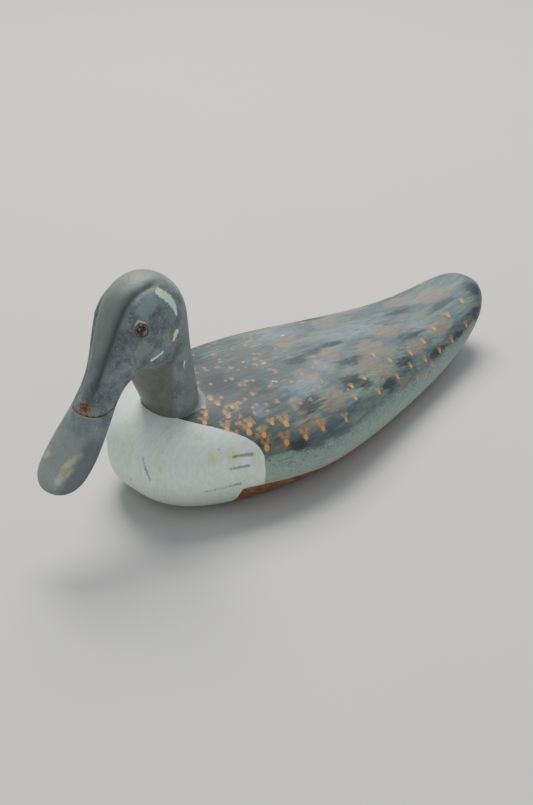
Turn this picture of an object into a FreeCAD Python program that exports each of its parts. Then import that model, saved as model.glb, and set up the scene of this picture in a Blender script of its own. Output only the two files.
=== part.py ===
import FreeCAD, Part
import math
import os
import Sketcher
from FreeCAD import Placement, Rotation, Vector

# Floating duck decoy, millimetres. +Z up, -Y towards the bill, +X the duck's left side.
# The origin is the centre of the whole decoy's footprint, on the surface that it rests on.
# The hull is a hollowed wooden block on a bottom board, the head stands on a flat seat held
# by a lag screw and a dowel, and the bill is a separate piece pinned and glued to the head.

SIZES = {
    # hull lines
    "hull_length": 345, "bow_position": -140.5, "upper_fullness": 2.3, "lower_fullness": 3.1,
    "bottom_board_thickness": 9,
    # hollow inside the body block
    "hollow_front_station": 2.55, "hollow_rear_station": 4.9, "hollow_breadth_share": 0.5,
    "hollow_roof_thickness": 16, "hollow_middle": 30, "hollow_depth": 55, "hollow_fullness": 3,
    # head and neck
    "head_fullness": 2.2, "head_turn": 5, "neck_axis_position": -103.5, "neck_seat_height": 57,
    "bill_round_start": 10.2, "bill_round_power": 3,
    "neck_filler_width": 2.5, "neck_filler_height": 2.2,
    # bill joint: a nearly level plane through the root of the bill
    "bill_joint_position": -165, "bill_joint_height": 91.5, "bill_joint_tilt": 11,
    "bill_joint_thickness": 0.8, "bill_joint_rear": 25,
    "bill_dowel_diameter": 7, "bill_dowel_length": 34,
    "bill_dowel_position": -160, "bill_dowel_height": 92, "bill_dowel_slope": 41,
    # neck fixing
    "neck_dowel_diameter": 9, "neck_dowel_length": 42, "neck_dowel_position": -95,
    "neck_dowel_base": 40, "dowel_chamfer": 0.8,
    "lag_position": -108, "lag_shoulder_height": 30, "lag_shank_diameter": 7,
    "lag_shank_length": 63, "lag_point_length": 7, "lag_head_width": 11, "lag_head_height": 5,
    "washer_diameter": 19, "washer_hole": 7.2, "washer_thickness": 1.5, "lag_bore_diameter": 21,
    # glass eyes
    "eye_station": 6.53, "eye_level": 0.34, "eye_inset": 0.9, "eye_diameter": 8.0,
    "eye_crown": 1.9, "eye_edge": 1.2, "iris_thickness": 0.4, "iris_diameter": 7.6,
    "pupil_diameter": 4.8, "putty_diameter": 9.8, "putty_depth": 5, "putty_lip": 0.5,
    # ballast plate let into the board
    "ballast_length": 110, "ballast_width": 28, "ballast_thickness": 4, "ballast_centre": 25,
    "ballast_recess": 0.3, "ballast_screw_spacing": 80, "ballast_screw_length": 8,
    "ballast_screw_diameter": 3, "ballast_screw_head": 6,
    # screws that hold the board to the block
    "board_screw_length": 20, "board_screw_diameter": 3.8, "board_screw_head": 7.6,
    # line tie under the breast
    "tie_position": -80, "staple_wire": 2, "staple_span": 10, "staple_bar_height": 1.9,
    "staple_leg_length": 20, "staple_bend": 2, "ring_wire": 2.4, "ring_radius": 9,
    "ring_gap": 0.3, "tie_pocket_depth": 6.2, "tie_pocket_start": -8, "tie_pocket_end": 21.5,
    "tie_pocket_width": 24,
}

# Hull lines at stations 1 to 7 of 8, bow and tail being stations 0 and 8.
HULL_LINES = {
    "half_breadth": (0, 35, 57, 72, 64.5, 50, 36.5, 23, 0),
    "widest_height": (31, 36, 37, 33.5, 28, 23, 27.5, 36, 36),
    "deck_height": (31, 61, 68, 66, 59, 50, 47.5, 52.5, 36),
    "keel_height": (31, 9, -1, -1, -1, 2, 9, 25, 36),
}

# Head lines from the neck seat (0) over the crown to the bill's tip (11): the outer rail runs
# up the nape, over the crown and down the forehead, the inner rail up the throat and out
# along the underside of the bill.
HEAD_LINES = {
    "outer_position": (-85, -85.5, -87, -89, -94.5, -109.5, -128.5, -144.5, -159.5, -176.5, -193, -206.5),
    "outer_height": (54, 66, 93, 119, 144, 158, 158, 143, 112, 84.5, 64, 51.5),
    "inner_position": (-117.5, -118, -124, -127.5, -131.5, -135.5, -137.5, -138, -146, -163.5, -180.5, -194.5),
    "inner_height": (55, 70, 83, 92.5, 100.5, 105, 105, 100.5, 94.5, 78.5, 63.5, 50.5),
    "head_half_breadth": (22, 20.5, 18.5, 18.5, 22.5, 22, 20.5, 18.5, 13, 16.5, 19, 12),
}

# Board screws: (distance from the centre line, position along the hull, height of the head).
BOARD_SCREW_PLACES = ((17, -100, 1.1), (40, 15, 2.3), (14, 108, 2.9))

SECTION_POINTS = 32
HULL_STEPS = 22
HULL_END_STEP = 0.04
CLEAR = 60


def fill_sheet(doc):
    """Write every driving dimension to the sheet, each in a cell with its own alias."""
    sheet = doc.addObject("Spreadsheet::Sheet", "Sizes")
    cells = dict(SIZES)
    for table in (HULL_LINES, HEAD_LINES):
        for line, values in table.items():
            for station, value in enumerate(values):
                cells["%s_%d" % (line, station)] = value
    for row, (alias, value) in enumerate(cells.items(), start=1):
        sheet.set("A%d" % row, alias.replace("_", " "))
        sheet.set("B%d" % row, str(value))
        sheet.setAlias("B%d" % row, alias)
    doc.recompute()
    return sheet


def smooth_curve(points):
    """Curve through the points, with the point's number as its parameter."""
    curve = Part.BSplineCurve()
    curve.interpolate(Points=points, Parameters=[float(i) for i in range(len(points))])
    return curve


def smooth_line(values):
    """Curve of a value over the stations: X is the station and Y the value."""
    return smooth_curve([Vector(i, value, 0) for i, value in enumerate(values)])


def line_values(sheet, line, count):
    return [float(sheet.get("%s_%d" % (line, i))) for i in range(count)]


def signed_power(value, power):
    return math.copysign(abs(value) ** power, value)


def skin_solid(sections):
    """Solid inside one smooth surface through closed sections, with flat ends."""
    surface = Part.BSplineSurface()
    surface.interpolate([section + section[:1] for section in sections])
    skin = surface.toShape()
    faces = [skin]
    for section in (sections[0], sections[-1]):
        rim = next(edge for edge in skin.Edges if edge.isClosed()
                   and edge.Vertexes[0].Point.distanceToPoint(section[0]) < 0.001)
        faces.append(Part.Face(Part.Wire([rim])))
    shell = Part.makeCompound(faces)
    shell.sewShape(0.001)
    solid = Part.Solid(shell.Shells[0])
    if solid.Volume < 0:
        solid.reverse()
    return solid


def ring_angles():
    return [2 * math.pi * i / SECTION_POINTS for i in range(SECTION_POINTS)]


# ---------------------------------------------------------------- hull lines

def hull_lines(sheet):
    """The four hull lines as curves over the stations."""
    lines = {}
    for line, values in HULL_LINES.items():
        lines[line] = smooth_line(line_values(sheet, line, len(values)))
    return lines


def hull_position(sheet, station):
    """Stations crowd towards both ends, so that the ends come out round."""
    last = len(HULL_LINES["half_breadth"]) - 1
    share = (1 - math.cos(math.pi * station / last)) / 2
    return sheet.bow_position + sheet.hull_length * share


def hull_section(sheet, lines, station, grow):
    """Hull section: two superellipse halves that meet at the widest height."""
    breadth = lines["half_breadth"].value(station).y + grow
    middle = lines["widest_height"].value(station).y
    rise = lines["deck_height"].value(station).y - middle + grow
    drop = middle - lines["keel_height"].value(station).y + grow
    y = hull_position(sheet, station)
    points = []
    for angle in ring_angles():
        across, up = math.cos(angle), math.sin(angle)
        upper = up >= 0
        power = 2 / (sheet.upper_fullness if upper else sheet.lower_fullness)
        half_height = rise if upper else drop
        points.append(Vector(breadth * signed_power(across, power), y,
                             middle + half_height * signed_power(up, power)))
    return points


def hull_shape(sheet, grow=0.0):
    lines = hull_lines(sheet)
    last = len(HULL_LINES["half_breadth"]) - 1
    inner = [last * i / HULL_STEPS for i in range(1, HULL_STEPS)]
    stations = [HULL_END_STEP] + inner + [last - HULL_END_STEP]
    return skin_solid([hull_section(sheet, lines, station, grow) for station in stations])


def hollow_shape(sheet):
    """Boxy hollow under the deck, open at the bottom where the board closes it."""
    lines = hull_lines(sheet)
    first, last = sheet.hollow_front_station, sheet.hollow_rear_station
    power = 2 / sheet.hollow_fullness
    sections = []
    for i in range(7):
        station = first + (last - first) * i / 6
        breadth = lines["half_breadth"].value(station).y * sheet.hollow_breadth_share
        rise = lines["deck_height"].value(station).y - sheet.hollow_roof_thickness
        rise -= sheet.hollow_middle
        points = []
        for angle in ring_angles():
            across, up = math.cos(angle), math.sin(angle)
            half_height = rise if up >= 0 else sheet.hollow_depth
            points.append(Vector(breadth * signed_power(across, power),
                                 hull_position(sheet, station),
                                 sheet.hollow_middle + half_height * signed_power(up, power)))
        sections.append(points)
    return skin_solid(sections)


# ---------------------------------------------------------------- head lines

def head_lines(sheet):
    """Outer rail, inner rail and half breadth as curves over the head stations."""
    count = len(HEAD_LINES["head_half_breadth"])
    outer = zip(line_values(sheet, "outer_position", count), line_values(sheet, "outer_height", count))
    inner = zip(line_values(sheet, "inner_position", count), line_values(sheet, "inner_height", count))
    breadth = line_values(sheet, "head_half_breadth", count)
    return {
        "outer": smooth_curve([Vector(0, y, z) for y, z in outer]),
        "inner": smooth_curve([Vector(0, y, z) for y, z in inner]),
        "breadth": smooth_line(breadth),
    }


def turn_at(sheet, station):
    """The head's turn comes in smoothly between the neck and the nape."""
    share = min(max((station - 2) / 3, 0), 1)
    angle = sheet.head_turn * share * share * (3 - 2 * share)
    return Placement(Vector(0, 0, 0), Rotation(Vector(0, 0, 1), angle),
                     Vector(0, sheet.neck_axis_position, 0))


def tip_rounding(sheet, station):
    """Scale of a section near the bill's tip, falling to nothing at the tip."""
    last = len(HEAD_LINES["head_half_breadth"]) - 1
    share = max((station - sheet.bill_round_start) / (last - sheet.bill_round_start), 0)
    return (1 - share ** sheet.bill_round_power) ** (1 / sheet.bill_round_power)


def head_section(sheet, lines, station, grow):
    outer, inner = lines["outer"].value(station), lines["inner"].value(station)
    centre, half_depth = (outer + inner) / 2, (outer - inner) / 2
    depth = half_depth.Length + grow
    half_depth.normalize()
    breadth = lines["breadth"].value(station).y + grow
    scale = tip_rounding(sheet, station)
    turn = turn_at(sheet, station)
    power = 2 / sheet.head_fullness
    points = []
    for angle in ring_angles():
        across = Vector(scale * breadth * signed_power(math.cos(angle), power), 0, 0)
        along = half_depth * (scale * depth * signed_power(math.sin(angle), power))
        points.append(turn.multVec(centre + across + along))
    return points


def head_shape(sheet):
    lines = head_lines(sheet)
    stations = [i / 2 for i in range(21)] + [10.2, 10.4, 10.6, 10.8, 10.93]
    return skin_solid([head_section(sheet, lines, station, 0) for station in stations])


def neck_shape(sheet, grow):
    """The lowest part of the neck, made thicker all round by grow."""
    lines = head_lines(sheet)
    return skin_solid([head_section(sheet, lines, i / 2, grow) for i in range(5)])


# ---------------------------------------------------------------- document helpers

def form(doc, label, shape, placement=Placement()):
    """A shaped form, kept as one feature of the document."""
    feature = doc.addObject("Part::Feature", label)
    feature.Label = label
    feature.Shape = shape
    feature.Placement = placement
    return feature


def bound_box(doc, label, sizes, placement):
    box = doc.addObject("Part::Box", label)
    for prop, expression in zip(("Length", "Width", "Height"), sizes):
        box.setExpression(prop, expression)
    box.Placement = placement
    return box


def bound_cylinder(doc, label, radius, height, placement):
    cylinder = doc.addObject("Part::Cylinder", label)
    cylinder.setExpression("Radius", radius)
    cylinder.setExpression("Height", height)
    cylinder.Placement = placement
    return cylinder


def fuse(doc, label, shapes):
    fusion = doc.addObject("Part::MultiFuse", label)
    fusion.Shapes = shapes
    return fusion


def common(doc, label, shapes):
    overlap = doc.addObject("Part::MultiCommon", label)
    overlap.Shapes = shapes
    overlap.Label = label
    return overlap


def cut(doc, label, base, tools):
    """Take the tools away from the base; the result is named by its label."""
    result = doc.addObject("Part::Cut", label)
    result.Base = base
    result.Tool = tools[0] if len(tools) == 1 else fuse(doc, label + "_tools", tools)
    result.Label = label
    return result


def new_body(doc, label, placement=Placement()):
    body = doc.addObject("PartDesign::Body", label)
    body.Label = label
    body.Placement = placement
    return body


def new_sketch(body, name, role, offset=Placement()):
    sketch = body.newObject("Sketcher::SketchObject", name)
    plane = next(o for o in body.Origin.OriginFeatures if o.Role == role)
    sketch.AttachmentSupport = [(plane, "")]
    sketch.MapMode = "FlatFace"
    sketch.AttachmentOffset = offset
    return sketch


def circle(sketch, diameter, centre=Vector(0, 0, 0)):
    """Circle on the sketch with its diameter bound to an expression."""
    index = sketch.addGeometry(Part.Circle(centre, Vector(0, 0, 1), 1))
    if centre.Length == 0:
        sketch.addConstraint(Sketcher.Constraint("Coincident", index, 3, -1, 1))
    bound = sketch.addConstraint(Sketcher.Constraint("Diameter", index, 1))
    sketch.setExpression("Constraints[%d]" % bound, diameter)
    return index


def pad(body, sketch, name, length):
    feature = body.newObject("PartDesign::Pad", name)
    feature.Profile = sketch
    feature.setExpression("Length", length)
    sketch.Document.recompute()
    return feature


def revolve_profile(body, name, corners):
    """Revolve a closed outline, given as (radius, height) corners, about the body's Z axis."""
    sketch = new_sketch(body, name + "_profile", "XZ_Plane")
    points = [Vector(radius, height, 0) for radius, height in corners]
    for start, end in zip(points, points[1:] + points[:1]):
        sketch.addGeometry(Part.LineSegment(start, end))
    feature = body.newObject("PartDesign::Revolution", name)
    feature.Profile = sketch
    feature.ReferenceAxis = (sketch, ["V_Axis"])
    feature.Angle = 360
    body.Document.recompute()
    return feature


def upright(x, y, z):
    return Placement(Vector(x, y, z), Rotation())


# ---------------------------------------------------------------- fixings

def make_dowel(doc, label, prefix, placement):
    """Turned wooden pin with a small chamfer at both ends."""
    body = new_body(doc, label, placement)
    sketch = new_sketch(body, label + "_round", "XY_Plane")
    circle(sketch, "Sizes.%s_diameter" % prefix)
    pin = pad(body, sketch, label + "_pad", "Sizes.%s_length" % prefix)
    ends = [edge for i in range(len(pin.Shape.Edges)) for edge in ["Edge%d" % (i + 1)]
            if isinstance(pin.Shape.Edges[i].Curve, Part.Circle)]
    chamfer = body.newObject("PartDesign::Chamfer", label + "_chamfer")
    chamfer.Base = (pin, ends)
    chamfer.setExpression("Size", "Sizes.dowel_chamfer")
    return body


def make_lag_screw(doc, sheet):
    """Hexagon-headed wood screw, driven upwards: its bearing face is at the body's origin."""
    height = sheet.lag_shoulder_height - sheet.washer_thickness
    body = new_body(doc, "neck_lag_screw", upright(0, sheet.lag_position, height))
    radius = sheet.lag_shank_diameter / 2
    body_length = sheet.lag_shank_length - sheet.lag_point_length
    revolve_profile(body, "lag_shank", [
        (0, -sheet.lag_head_height / 2), (radius, -sheet.lag_head_height / 2),
        (radius, body_length), (0.4, sheet.lag_shank_length), (0, sheet.lag_shank_length)])
    sketch = new_sketch(body, "lag_head_outline", "XY_Plane")
    reach = sheet.lag_head_width / math.sqrt(3)
    corners = [Vector(reach * math.cos(math.radians(60 * i)), reach * math.sin(math.radians(60 * i)), 0)
               for i in range(6)]
    for start, end in zip(corners, corners[1:] + corners[:1]):
        sketch.addGeometry(Part.LineSegment(start, end))
    head = pad(body, sketch, "lag_head", "Sizes.lag_head_height")
    head.Reversed = True
    return body


def make_washer(doc, sheet):
    height = sheet.lag_shoulder_height - sheet.washer_thickness
    body = new_body(doc, "neck_washer", upright(0, sheet.lag_position, height))
    sketch = new_sketch(body, "washer_outline", "XY_Plane")
    circle(sketch, "Sizes.washer_diameter")
    circle(sketch, "Sizes.washer_hole")
    pad(body, sketch, "washer_pad", "Sizes.washer_thickness")
    return body


def countersunk_screw(doc, label, length, shank, head):
    """Slotted countersunk wood screw pointing up, with the head's face at the origin."""
    body = new_body(doc, label)
    flare = (head - shank) / 2
    revolve_profile(body, label + "_turned", [
        (0, 0), (head / 2, 0), (head / 2, 0.3), (shank / 2, 0.3 + flare),
        (shank / 2, length - shank), (0.3, length), (0, length)])
    slot = new_sketch(body, label + "_slot_outline", "XY_Plane")
    half_width, half_length = head / 14, head
    corners = [Vector(-half_length, -half_width, 0), Vector(half_length, -half_width, 0),
               Vector(half_length, half_width, 0), Vector(-half_length, half_width, 0)]
    for start, end in zip(corners, corners[1:] + corners[:1]):
        slot.addGeometry(Part.LineSegment(start, end))
    pocket = body.newObject("PartDesign::Pocket", label + "_slot")
    pocket.Profile = slot
    pocket.Length = head / 8
    pocket.Reversed = True
    doc.recompute()
    return body


def screw_group(doc, label, screw, places):
    """Identical screws as one node of separate solids."""
    copies = []
    for place in places:
        copy = screw.Shape.copy()
        copy.Placement = upright(*place)
        copies.append(copy)
    return form(doc, label, Part.makeCompound(copies))


def screw_sinks(doc, label, head, places):
    """Open the wood below each sunk head."""
    depth = 8
    sinks = [Part.makeCylinder(head / 2, depth, Vector(x, y, z - depth)) for x, y, z in places]
    return form(doc, label, Part.makeCompound(sinks))


def screw_slots_filled(doc, label, screw_length, shank, head, places):
    """Outline of each screw without its slot, to cut its hole with."""
    flare = (head - shank) / 2
    outlines = []
    for x, y, z in places:
        outline = [Vector(0, 0, 0), Vector(head / 2, 0, 0), Vector(head / 2, 0, 0.3),
                   Vector(shank / 2, 0, 0.3 + flare), Vector(shank / 2, 0, screw_length - shank),
                   Vector(0.3, 0, screw_length), Vector(0, 0, screw_length), Vector(0, 0, 0)]
        hole = Part.Face(Part.makePolygon(outline)).revolve(Vector(0, 0, 0), Vector(0, 0, 1), 360)
        hole.Placement = upright(x, y, z)
        outlines.append(hole)
    return form(doc, label, Part.makeCompound(outlines))


# ---------------------------------------------------------------- eyes

def head_side(sheet, lines, station, level):
    """Point on the head's left side; level runs from the inner rail (-1) to the outer (1)."""
    outer, inner = lines["outer"].value(station), lines["inner"].value(station)
    across = (1 - level ** sheet.head_fullness) ** (1 / sheet.head_fullness)
    point = (outer + inner) / 2 + (outer - inner) / 2 * level
    return point + Vector(lines["breadth"].value(station).y * across, 0, 0)


def eye_place(sheet, side):
    """Frame at the eye with Z along the head's outward normal, sunk by the eye's inset."""
    lines = head_lines(sheet)
    station, level, step = sheet.eye_station, sheet.eye_level, 0.1
    surface = head_side(sheet, lines, station, level)
    along = head_side(sheet, lines, station + step, level) - surface
    upward = head_side(sheet, lines, station, level + step) - surface
    normal = along.cross(upward)
    normal.normalize()
    if normal.x < 0:
        normal = -normal
    centre = surface - normal * sheet.eye_inset
    mirrored = Vector(side, 1, 1)
    centre, normal = centre.scale(*mirrored), normal.scale(*mirrored)
    local = Placement(centre, Rotation(Vector(0, 0, 1), normal))
    return turn_at(sheet, station).multiply(local)


def make_eye(doc, sheet, name, side):
    """Plano-convex glass over a painted iris ring and pupil, bedded in putty."""
    place = eye_place(sheet, side)
    rim, crown, edge = sheet.eye_diameter / 2, sheet.eye_crown, sheet.eye_edge

    glass = new_body(doc, name + "_eye_glass", place)
    outline = new_sketch(glass, name + "_glass_outline", "XZ_Plane")
    radius = (rim ** 2 + crown ** 2) / (2 * crown)
    half_angle = math.asin(rim / radius) / 2
    middle = Vector(radius * math.sin(half_angle), crown - radius * (1 - math.cos(half_angle)), 0)
    base, waist, top = Vector(0, -edge, 0), Vector(rim, 0, 0), Vector(0, crown, 0)
    outline.addGeometry(Part.LineSegment(base, Vector(rim, -edge, 0)))
    outline.addGeometry(Part.LineSegment(Vector(rim, -edge, 0), waist))
    outline.addGeometry(Part.Arc(waist, middle, top))
    outline.addGeometry(Part.LineSegment(top, base))
    dome = glass.newObject("PartDesign::Revolution", name + "_glass_dome")
    dome.Profile = outline
    dome.ReferenceAxis = (outline, ["V_Axis"])
    dome.Angle = 360

    behind = place.multiply(upright(0, 0, -edge - sheet.iris_thickness))
    iris = new_body(doc, name + "_eye_iris", behind)
    ring = new_sketch(iris, name + "_iris_outline", "XY_Plane")
    circle(ring, "Sizes.iris_diameter")
    circle(ring, "Sizes.pupil_diameter")
    pad(iris, ring, name + "_iris_pad", "Sizes.iris_thickness")

    pupil = new_body(doc, name + "_eye_pupil", behind)
    disc = new_sketch(pupil, name + "_pupil_outline", "XY_Plane")
    circle(disc, "Sizes.pupil_diameter")
    pad(pupil, disc, name + "_pupil_pad", "Sizes.iris_thickness")

    back, outside = -sheet.putty_depth, sheet.putty_diameter / 2
    inside, floor = sheet.iris_diameter / 2, -edge - sheet.iris_thickness
    putty = new_body(doc, name + "_eye_putty", place)
    revolve_profile(putty, name + "_putty_turned", [
        (0, back), (outside, back), (outside, sheet.putty_lip), (rim, sheet.putty_lip),
        (rim, -edge), (inside, -edge), (inside, floor), (0, floor)])

    socket = bound_cylinder(doc, name + "_eye_socket", "Sizes.putty_diameter / 2",
                            "Sizes.putty_depth + 10 * Sizes.putty_lip",
                            place.multiply(upright(0, 0, back)))
    return [glass, iris, pupil, putty], socket


# ---------------------------------------------------------------- line tie

def make_staple(doc, sheet):
    """Bent-wire staple whose crown bar runs across the hull, legs up into the wood."""
    body = new_body(doc, "line_tie_staple", upright(0, sheet.tie_position, sheet.staple_bar_height))
    half, bend, leg = sheet.staple_span / 2, sheet.staple_bend, sheet.staple_leg_length
    path = new_sketch(body, "staple_path", "XZ_Plane")
    left_centre, right_centre = Vector(bend - half, bend, 0), Vector(half - bend, bend, 0)
    up = Vector(0, 0, 1)
    path.addGeometry(Part.LineSegment(Vector(-half, leg, 0), Vector(-half, bend, 0)))
    path.addGeometry(Part.ArcOfCircle(Part.Circle(left_centre, up, bend), math.pi, 1.5 * math.pi))
    path.addGeometry(Part.LineSegment(Vector(bend - half, 0, 0), Vector(half - bend, 0, 0)))
    path.addGeometry(Part.ArcOfCircle(Part.Circle(right_centre, up, bend), 1.5 * math.pi, 2 * math.pi))
    path.addGeometry(Part.LineSegment(Vector(half, bend, 0), Vector(half, leg, 0)))
    wire = new_sketch(body, "staple_wire_section", "XY_Plane", upright(0, 0, leg))
    section = wire.addGeometry(Part.Circle(Vector(-half, 0, 0), up, 1))
    bound = wire.addConstraint(Sketcher.Constraint("Diameter", section, 1))
    wire.setExpression("Constraints[%d]" % bound, "Sizes.staple_wire")
    doc.recompute()
    pipe = body.newObject("PartDesign::AdditivePipe", "staple_bent")
    pipe.Profile = wire
    pipe.Spine = (path, [])
    return body


def ring_height(sheet):
    """The ring lies over the crown bar with a small gap, and hangs from that bar."""
    return sheet.staple_bar_height + (sheet.staple_wire + sheet.ring_wire) / 2 + sheet.ring_gap


def make_ring(doc, sheet):
    ring = doc.addObject("Part::Torus", "line_tie_ring")
    ring.Label = "line_tie_ring"
    ring.setExpression("Radius1", "Sizes.ring_radius")
    ring.setExpression("Radius2", "Sizes.ring_wire / 2")
    ring.Placement = upright(sheet.ring_radius, sheet.tie_position, ring_height(sheet))
    return ring


def round_ended_slot(doc, label, first, last, width, height, placement):
    """Cutting tool: a slot along X from first to last, with rounded corners."""
    corner = width / 4
    box = Part.makeBox(last - first, width, height, Vector(first, -width / 2, 0))
    uprights = [edge for edge in box.Edges
                if abs(edge.tangentAt(edge.FirstParameter).z) > 0.9]
    return form(doc, label, box.makeFillet(corner, uprights), placement)


# ---------------------------------------------------------------- ballast

def make_ballast_blank(doc, sheet, label, drop, height):
    """Lead plate outline with round ends, lengthwise under the hull."""
    half = (sheet.ballast_length - sheet.ballast_width) / 2
    radius = sheet.ballast_width / 2
    body = new_body(doc, label, upright(0, sheet.ballast_centre, sheet.ballast_recess - drop))
    sketch = new_sketch(body, label + "_outline", "XY_Plane")
    front, rear, up = Vector(0, -half, 0), Vector(0, half, 0), Vector(0, 0, 1)
    sketch.addGeometry(Part.ArcOfCircle(Part.Circle(rear, up, radius), 0, math.pi))
    sketch.addGeometry(Part.LineSegment(Vector(-radius, half, 0), Vector(-radius, -half, 0)))
    sketch.addGeometry(Part.ArcOfCircle(Part.Circle(front, up, radius), math.pi, 2 * math.pi))
    sketch.addGeometry(Part.LineSegment(Vector(radius, -half, 0), Vector(radius, half, 0)))
    pad(body, sketch, label + "_pad", height)
    return body


# ---------------------------------------------------------------- assembly

def bill_joint_frame(sheet):
    """Frame of the joint plane: Z is the plane's normal, Y runs up towards the throat."""
    place = Placement(Vector(0, sheet.bill_joint_position, sheet.bill_joint_height),
                      Rotation(Vector(1, 0, 0), sheet.bill_joint_tilt))
    return place


def make_head_pieces(doc, sheet, head_form, sockets, neck_fixings):
    """Split the carved head form into head block, joint filler and bill."""
    frame = bill_joint_frame(sheet)
    half = sheet.bill_joint_thickness / 2
    span = (str(CLEAR), "%g + Sizes.bill_joint_rear" % CLEAR)
    below = bound_box(doc, "bill_space", span + (str(CLEAR),),
                      frame.multiply(upright(-CLEAR / 2, -CLEAR, -CLEAR - half)))
    slab = bound_box(doc, "bill_joint_space", span + ("Sizes.bill_joint_thickness",),
                     frame.multiply(upright(-CLEAR / 2, -CLEAR, -half)))

    slope = Rotation(Vector(1, 0, 0), -sheet.bill_dowel_slope)
    local = Placement(Vector(0, sheet.bill_dowel_position, sheet.bill_dowel_height), slope)
    local = local.multiply(upright(0, 0, -sheet.bill_dowel_length / 2))
    turned = turn_at(sheet, sheet.eye_station).multiply(local)
    dowel = make_dowel(doc, "bill_dowel", "bill_dowel", turned)

    bill = cut(doc, "bill", common(doc, "bill_blank", [head_form, below]), [dowel])
    filler = common(doc, "bill_joint_filler", [head_form, cut(doc, "drilled_joint_slab", slab, [dowel])])

    seat = bound_box(doc, "below_neck_seat", (str(2 * CLEAR), str(2 * CLEAR), "Sizes.neck_seat_height"),
                     upright(-CLEAR, sheet.neck_axis_position - CLEAR, 0))
    head = cut(doc, "head_block", head_form, [below, slab, seat, dowel] + sockets + neck_fixings)
    return [head, bill, filler, dowel]


def build(doc):
    """Build every piece of the decoy and return the ones that are written out."""
    sheet = fill_sheet(doc)
    hull_form = form(doc, "hull_form", hull_shape(sheet))
    head_form = form(doc, "head_form", head_shape(sheet))
    hollow = form(doc, "hollow_form", hollow_shape(sheet))

    left_eye, left_socket = make_eye(doc, sheet, "left", 1)
    right_eye, right_socket = make_eye(doc, sheet, "right", -1)

    neck_dowel = make_dowel(doc, "neck_dowel", "neck_dowel",
                            upright(0, sheet.neck_dowel_position, sheet.neck_dowel_base))
    lag_screw = make_lag_screw(doc, sheet)
    washer = make_washer(doc, sheet)
    doc.recompute()

    head_pieces = make_head_pieces(doc, sheet, head_form, [left_socket, right_socket],
                                   [neck_dowel, lag_screw])

    grown_neck = form(doc, "grown_neck", neck_shape(sheet, sheet.neck_filler_width))
    grown_hull = form(doc, "grown_hull", hull_shape(sheet, sheet.neck_filler_height))
    filler_blank = common(doc, "neck_filler_blank", [grown_neck, grown_hull])
    neck_filler = cut(doc, "neck_joint_filler", filler_blank, [hull_form, head_form])

    screw_size = (sheet.board_screw_length, sheet.board_screw_diameter, sheet.board_screw_head)
    places = [(side * x, y, z) for x, y, z in BOARD_SCREW_PLACES for side in (1, -1)]
    screw = countersunk_screw(doc, "board_screw_pattern", *screw_size)
    board_screws = screw_group(doc, "board_screws", screw, places)
    screw_holes = screw_slots_filled(doc, "board_screw_holes", *screw_size, places)
    sinks = screw_sinks(doc, "board_screw_sinks", sheet.board_screw_head, places)

    small_size = (sheet.ballast_screw_length, sheet.ballast_screw_diameter, sheet.ballast_screw_head)
    spread = sheet.ballast_screw_spacing / 2
    small_places = [(0, sheet.ballast_centre + spread, 2 * sheet.ballast_recess),
                    (0, sheet.ballast_centre - spread, 2 * sheet.ballast_recess)]
    small_screw = countersunk_screw(doc, "ballast_screw_pattern", *small_size)
    ballast_screws = screw_group(doc, "ballast_screws", small_screw, small_places)
    small_holes = screw_slots_filled(doc, "ballast_screw_holes", *small_size, small_places)
    small_sinks = screw_sinks(doc, "ballast_screw_sinks", sheet.ballast_screw_head, small_places)
    ballast_blank = make_ballast_blank(doc, sheet, "ballast_blank", 0, "Sizes.ballast_thickness")
    ballast_slot = make_ballast_blank(doc, sheet, "ballast_slot", 2,
                                      "Sizes.ballast_thickness + 2")
    ballast = cut(doc, "ballast_weight", ballast_blank, [small_holes, small_sinks])

    staple = make_staple(doc, sheet)
    ring = make_ring(doc, sheet)
    pocket = round_ended_slot(doc, "tie_pocket", sheet.tie_pocket_start, sheet.tie_pocket_end,
                              sheet.tie_pocket_width, sheet.tie_pocket_depth + 2,
                              upright(0, sheet.tie_position, -2))

    floor = bound_box(doc, "board_space", (str(4 * CLEAR), str(8 * CLEAR), "Sizes.bottom_board_thickness"),
                      upright(-2 * CLEAR, -4 * CLEAR, 0))
    above = bound_box(doc, "block_space", (str(4 * CLEAR), str(8 * CLEAR), str(2 * CLEAR)),
                      upright(-2 * CLEAR, -4 * CLEAR, sheet.bottom_board_thickness))
    above_seat = bound_box(doc, "above_neck_seat", (str(2 * CLEAR), str(2 * CLEAR), str(2 * CLEAR)),
                           upright(-CLEAR, sheet.neck_axis_position - CLEAR, sheet.neck_seat_height))
    neck_socket = common(doc, "neck_socket", [head_form, above_seat])
    lag_bore = bound_cylinder(doc, "lag_bore", "Sizes.lag_bore_diameter / 2",
                              "Sizes.lag_shoulder_height",
                              upright(0, sheet.lag_position, 0))
    doc.recompute()

    board_blank = common(doc, "board_blank", [hull_form, floor])
    board = cut(doc, "bottom_board", board_blank,
                [pocket, ballast_slot, screw_holes, sinks, small_holes, staple])
    block_blank = common(doc, "block_blank", [hull_form, above])
    block = cut(doc, "body_block", block_blank,
                [hollow, neck_socket, lag_bore, neck_dowel, lag_screw, screw_holes, staple])
    doc.recompute()

    pieces = [block, board] + head_pieces + [neck_filler, neck_dowel, lag_screw, washer]
    pieces += left_eye + right_eye + [ballast, ballast_screws, board_screws, staple, ring]
    return pieces


def check(doc, pieces):
    """Stop before anything is written if a feature failed or a shape isn't sound."""
    for feature in doc.Objects:
        if "Invalid" in feature.State or "Error" in feature.State:
            raise RuntimeError("feature failed: " + feature.Label)
    for piece in pieces:
        if piece.Shape.isNull() or not piece.Shape.isValid():
            raise RuntimeError("shape not sound: " + piece.Label)


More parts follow.
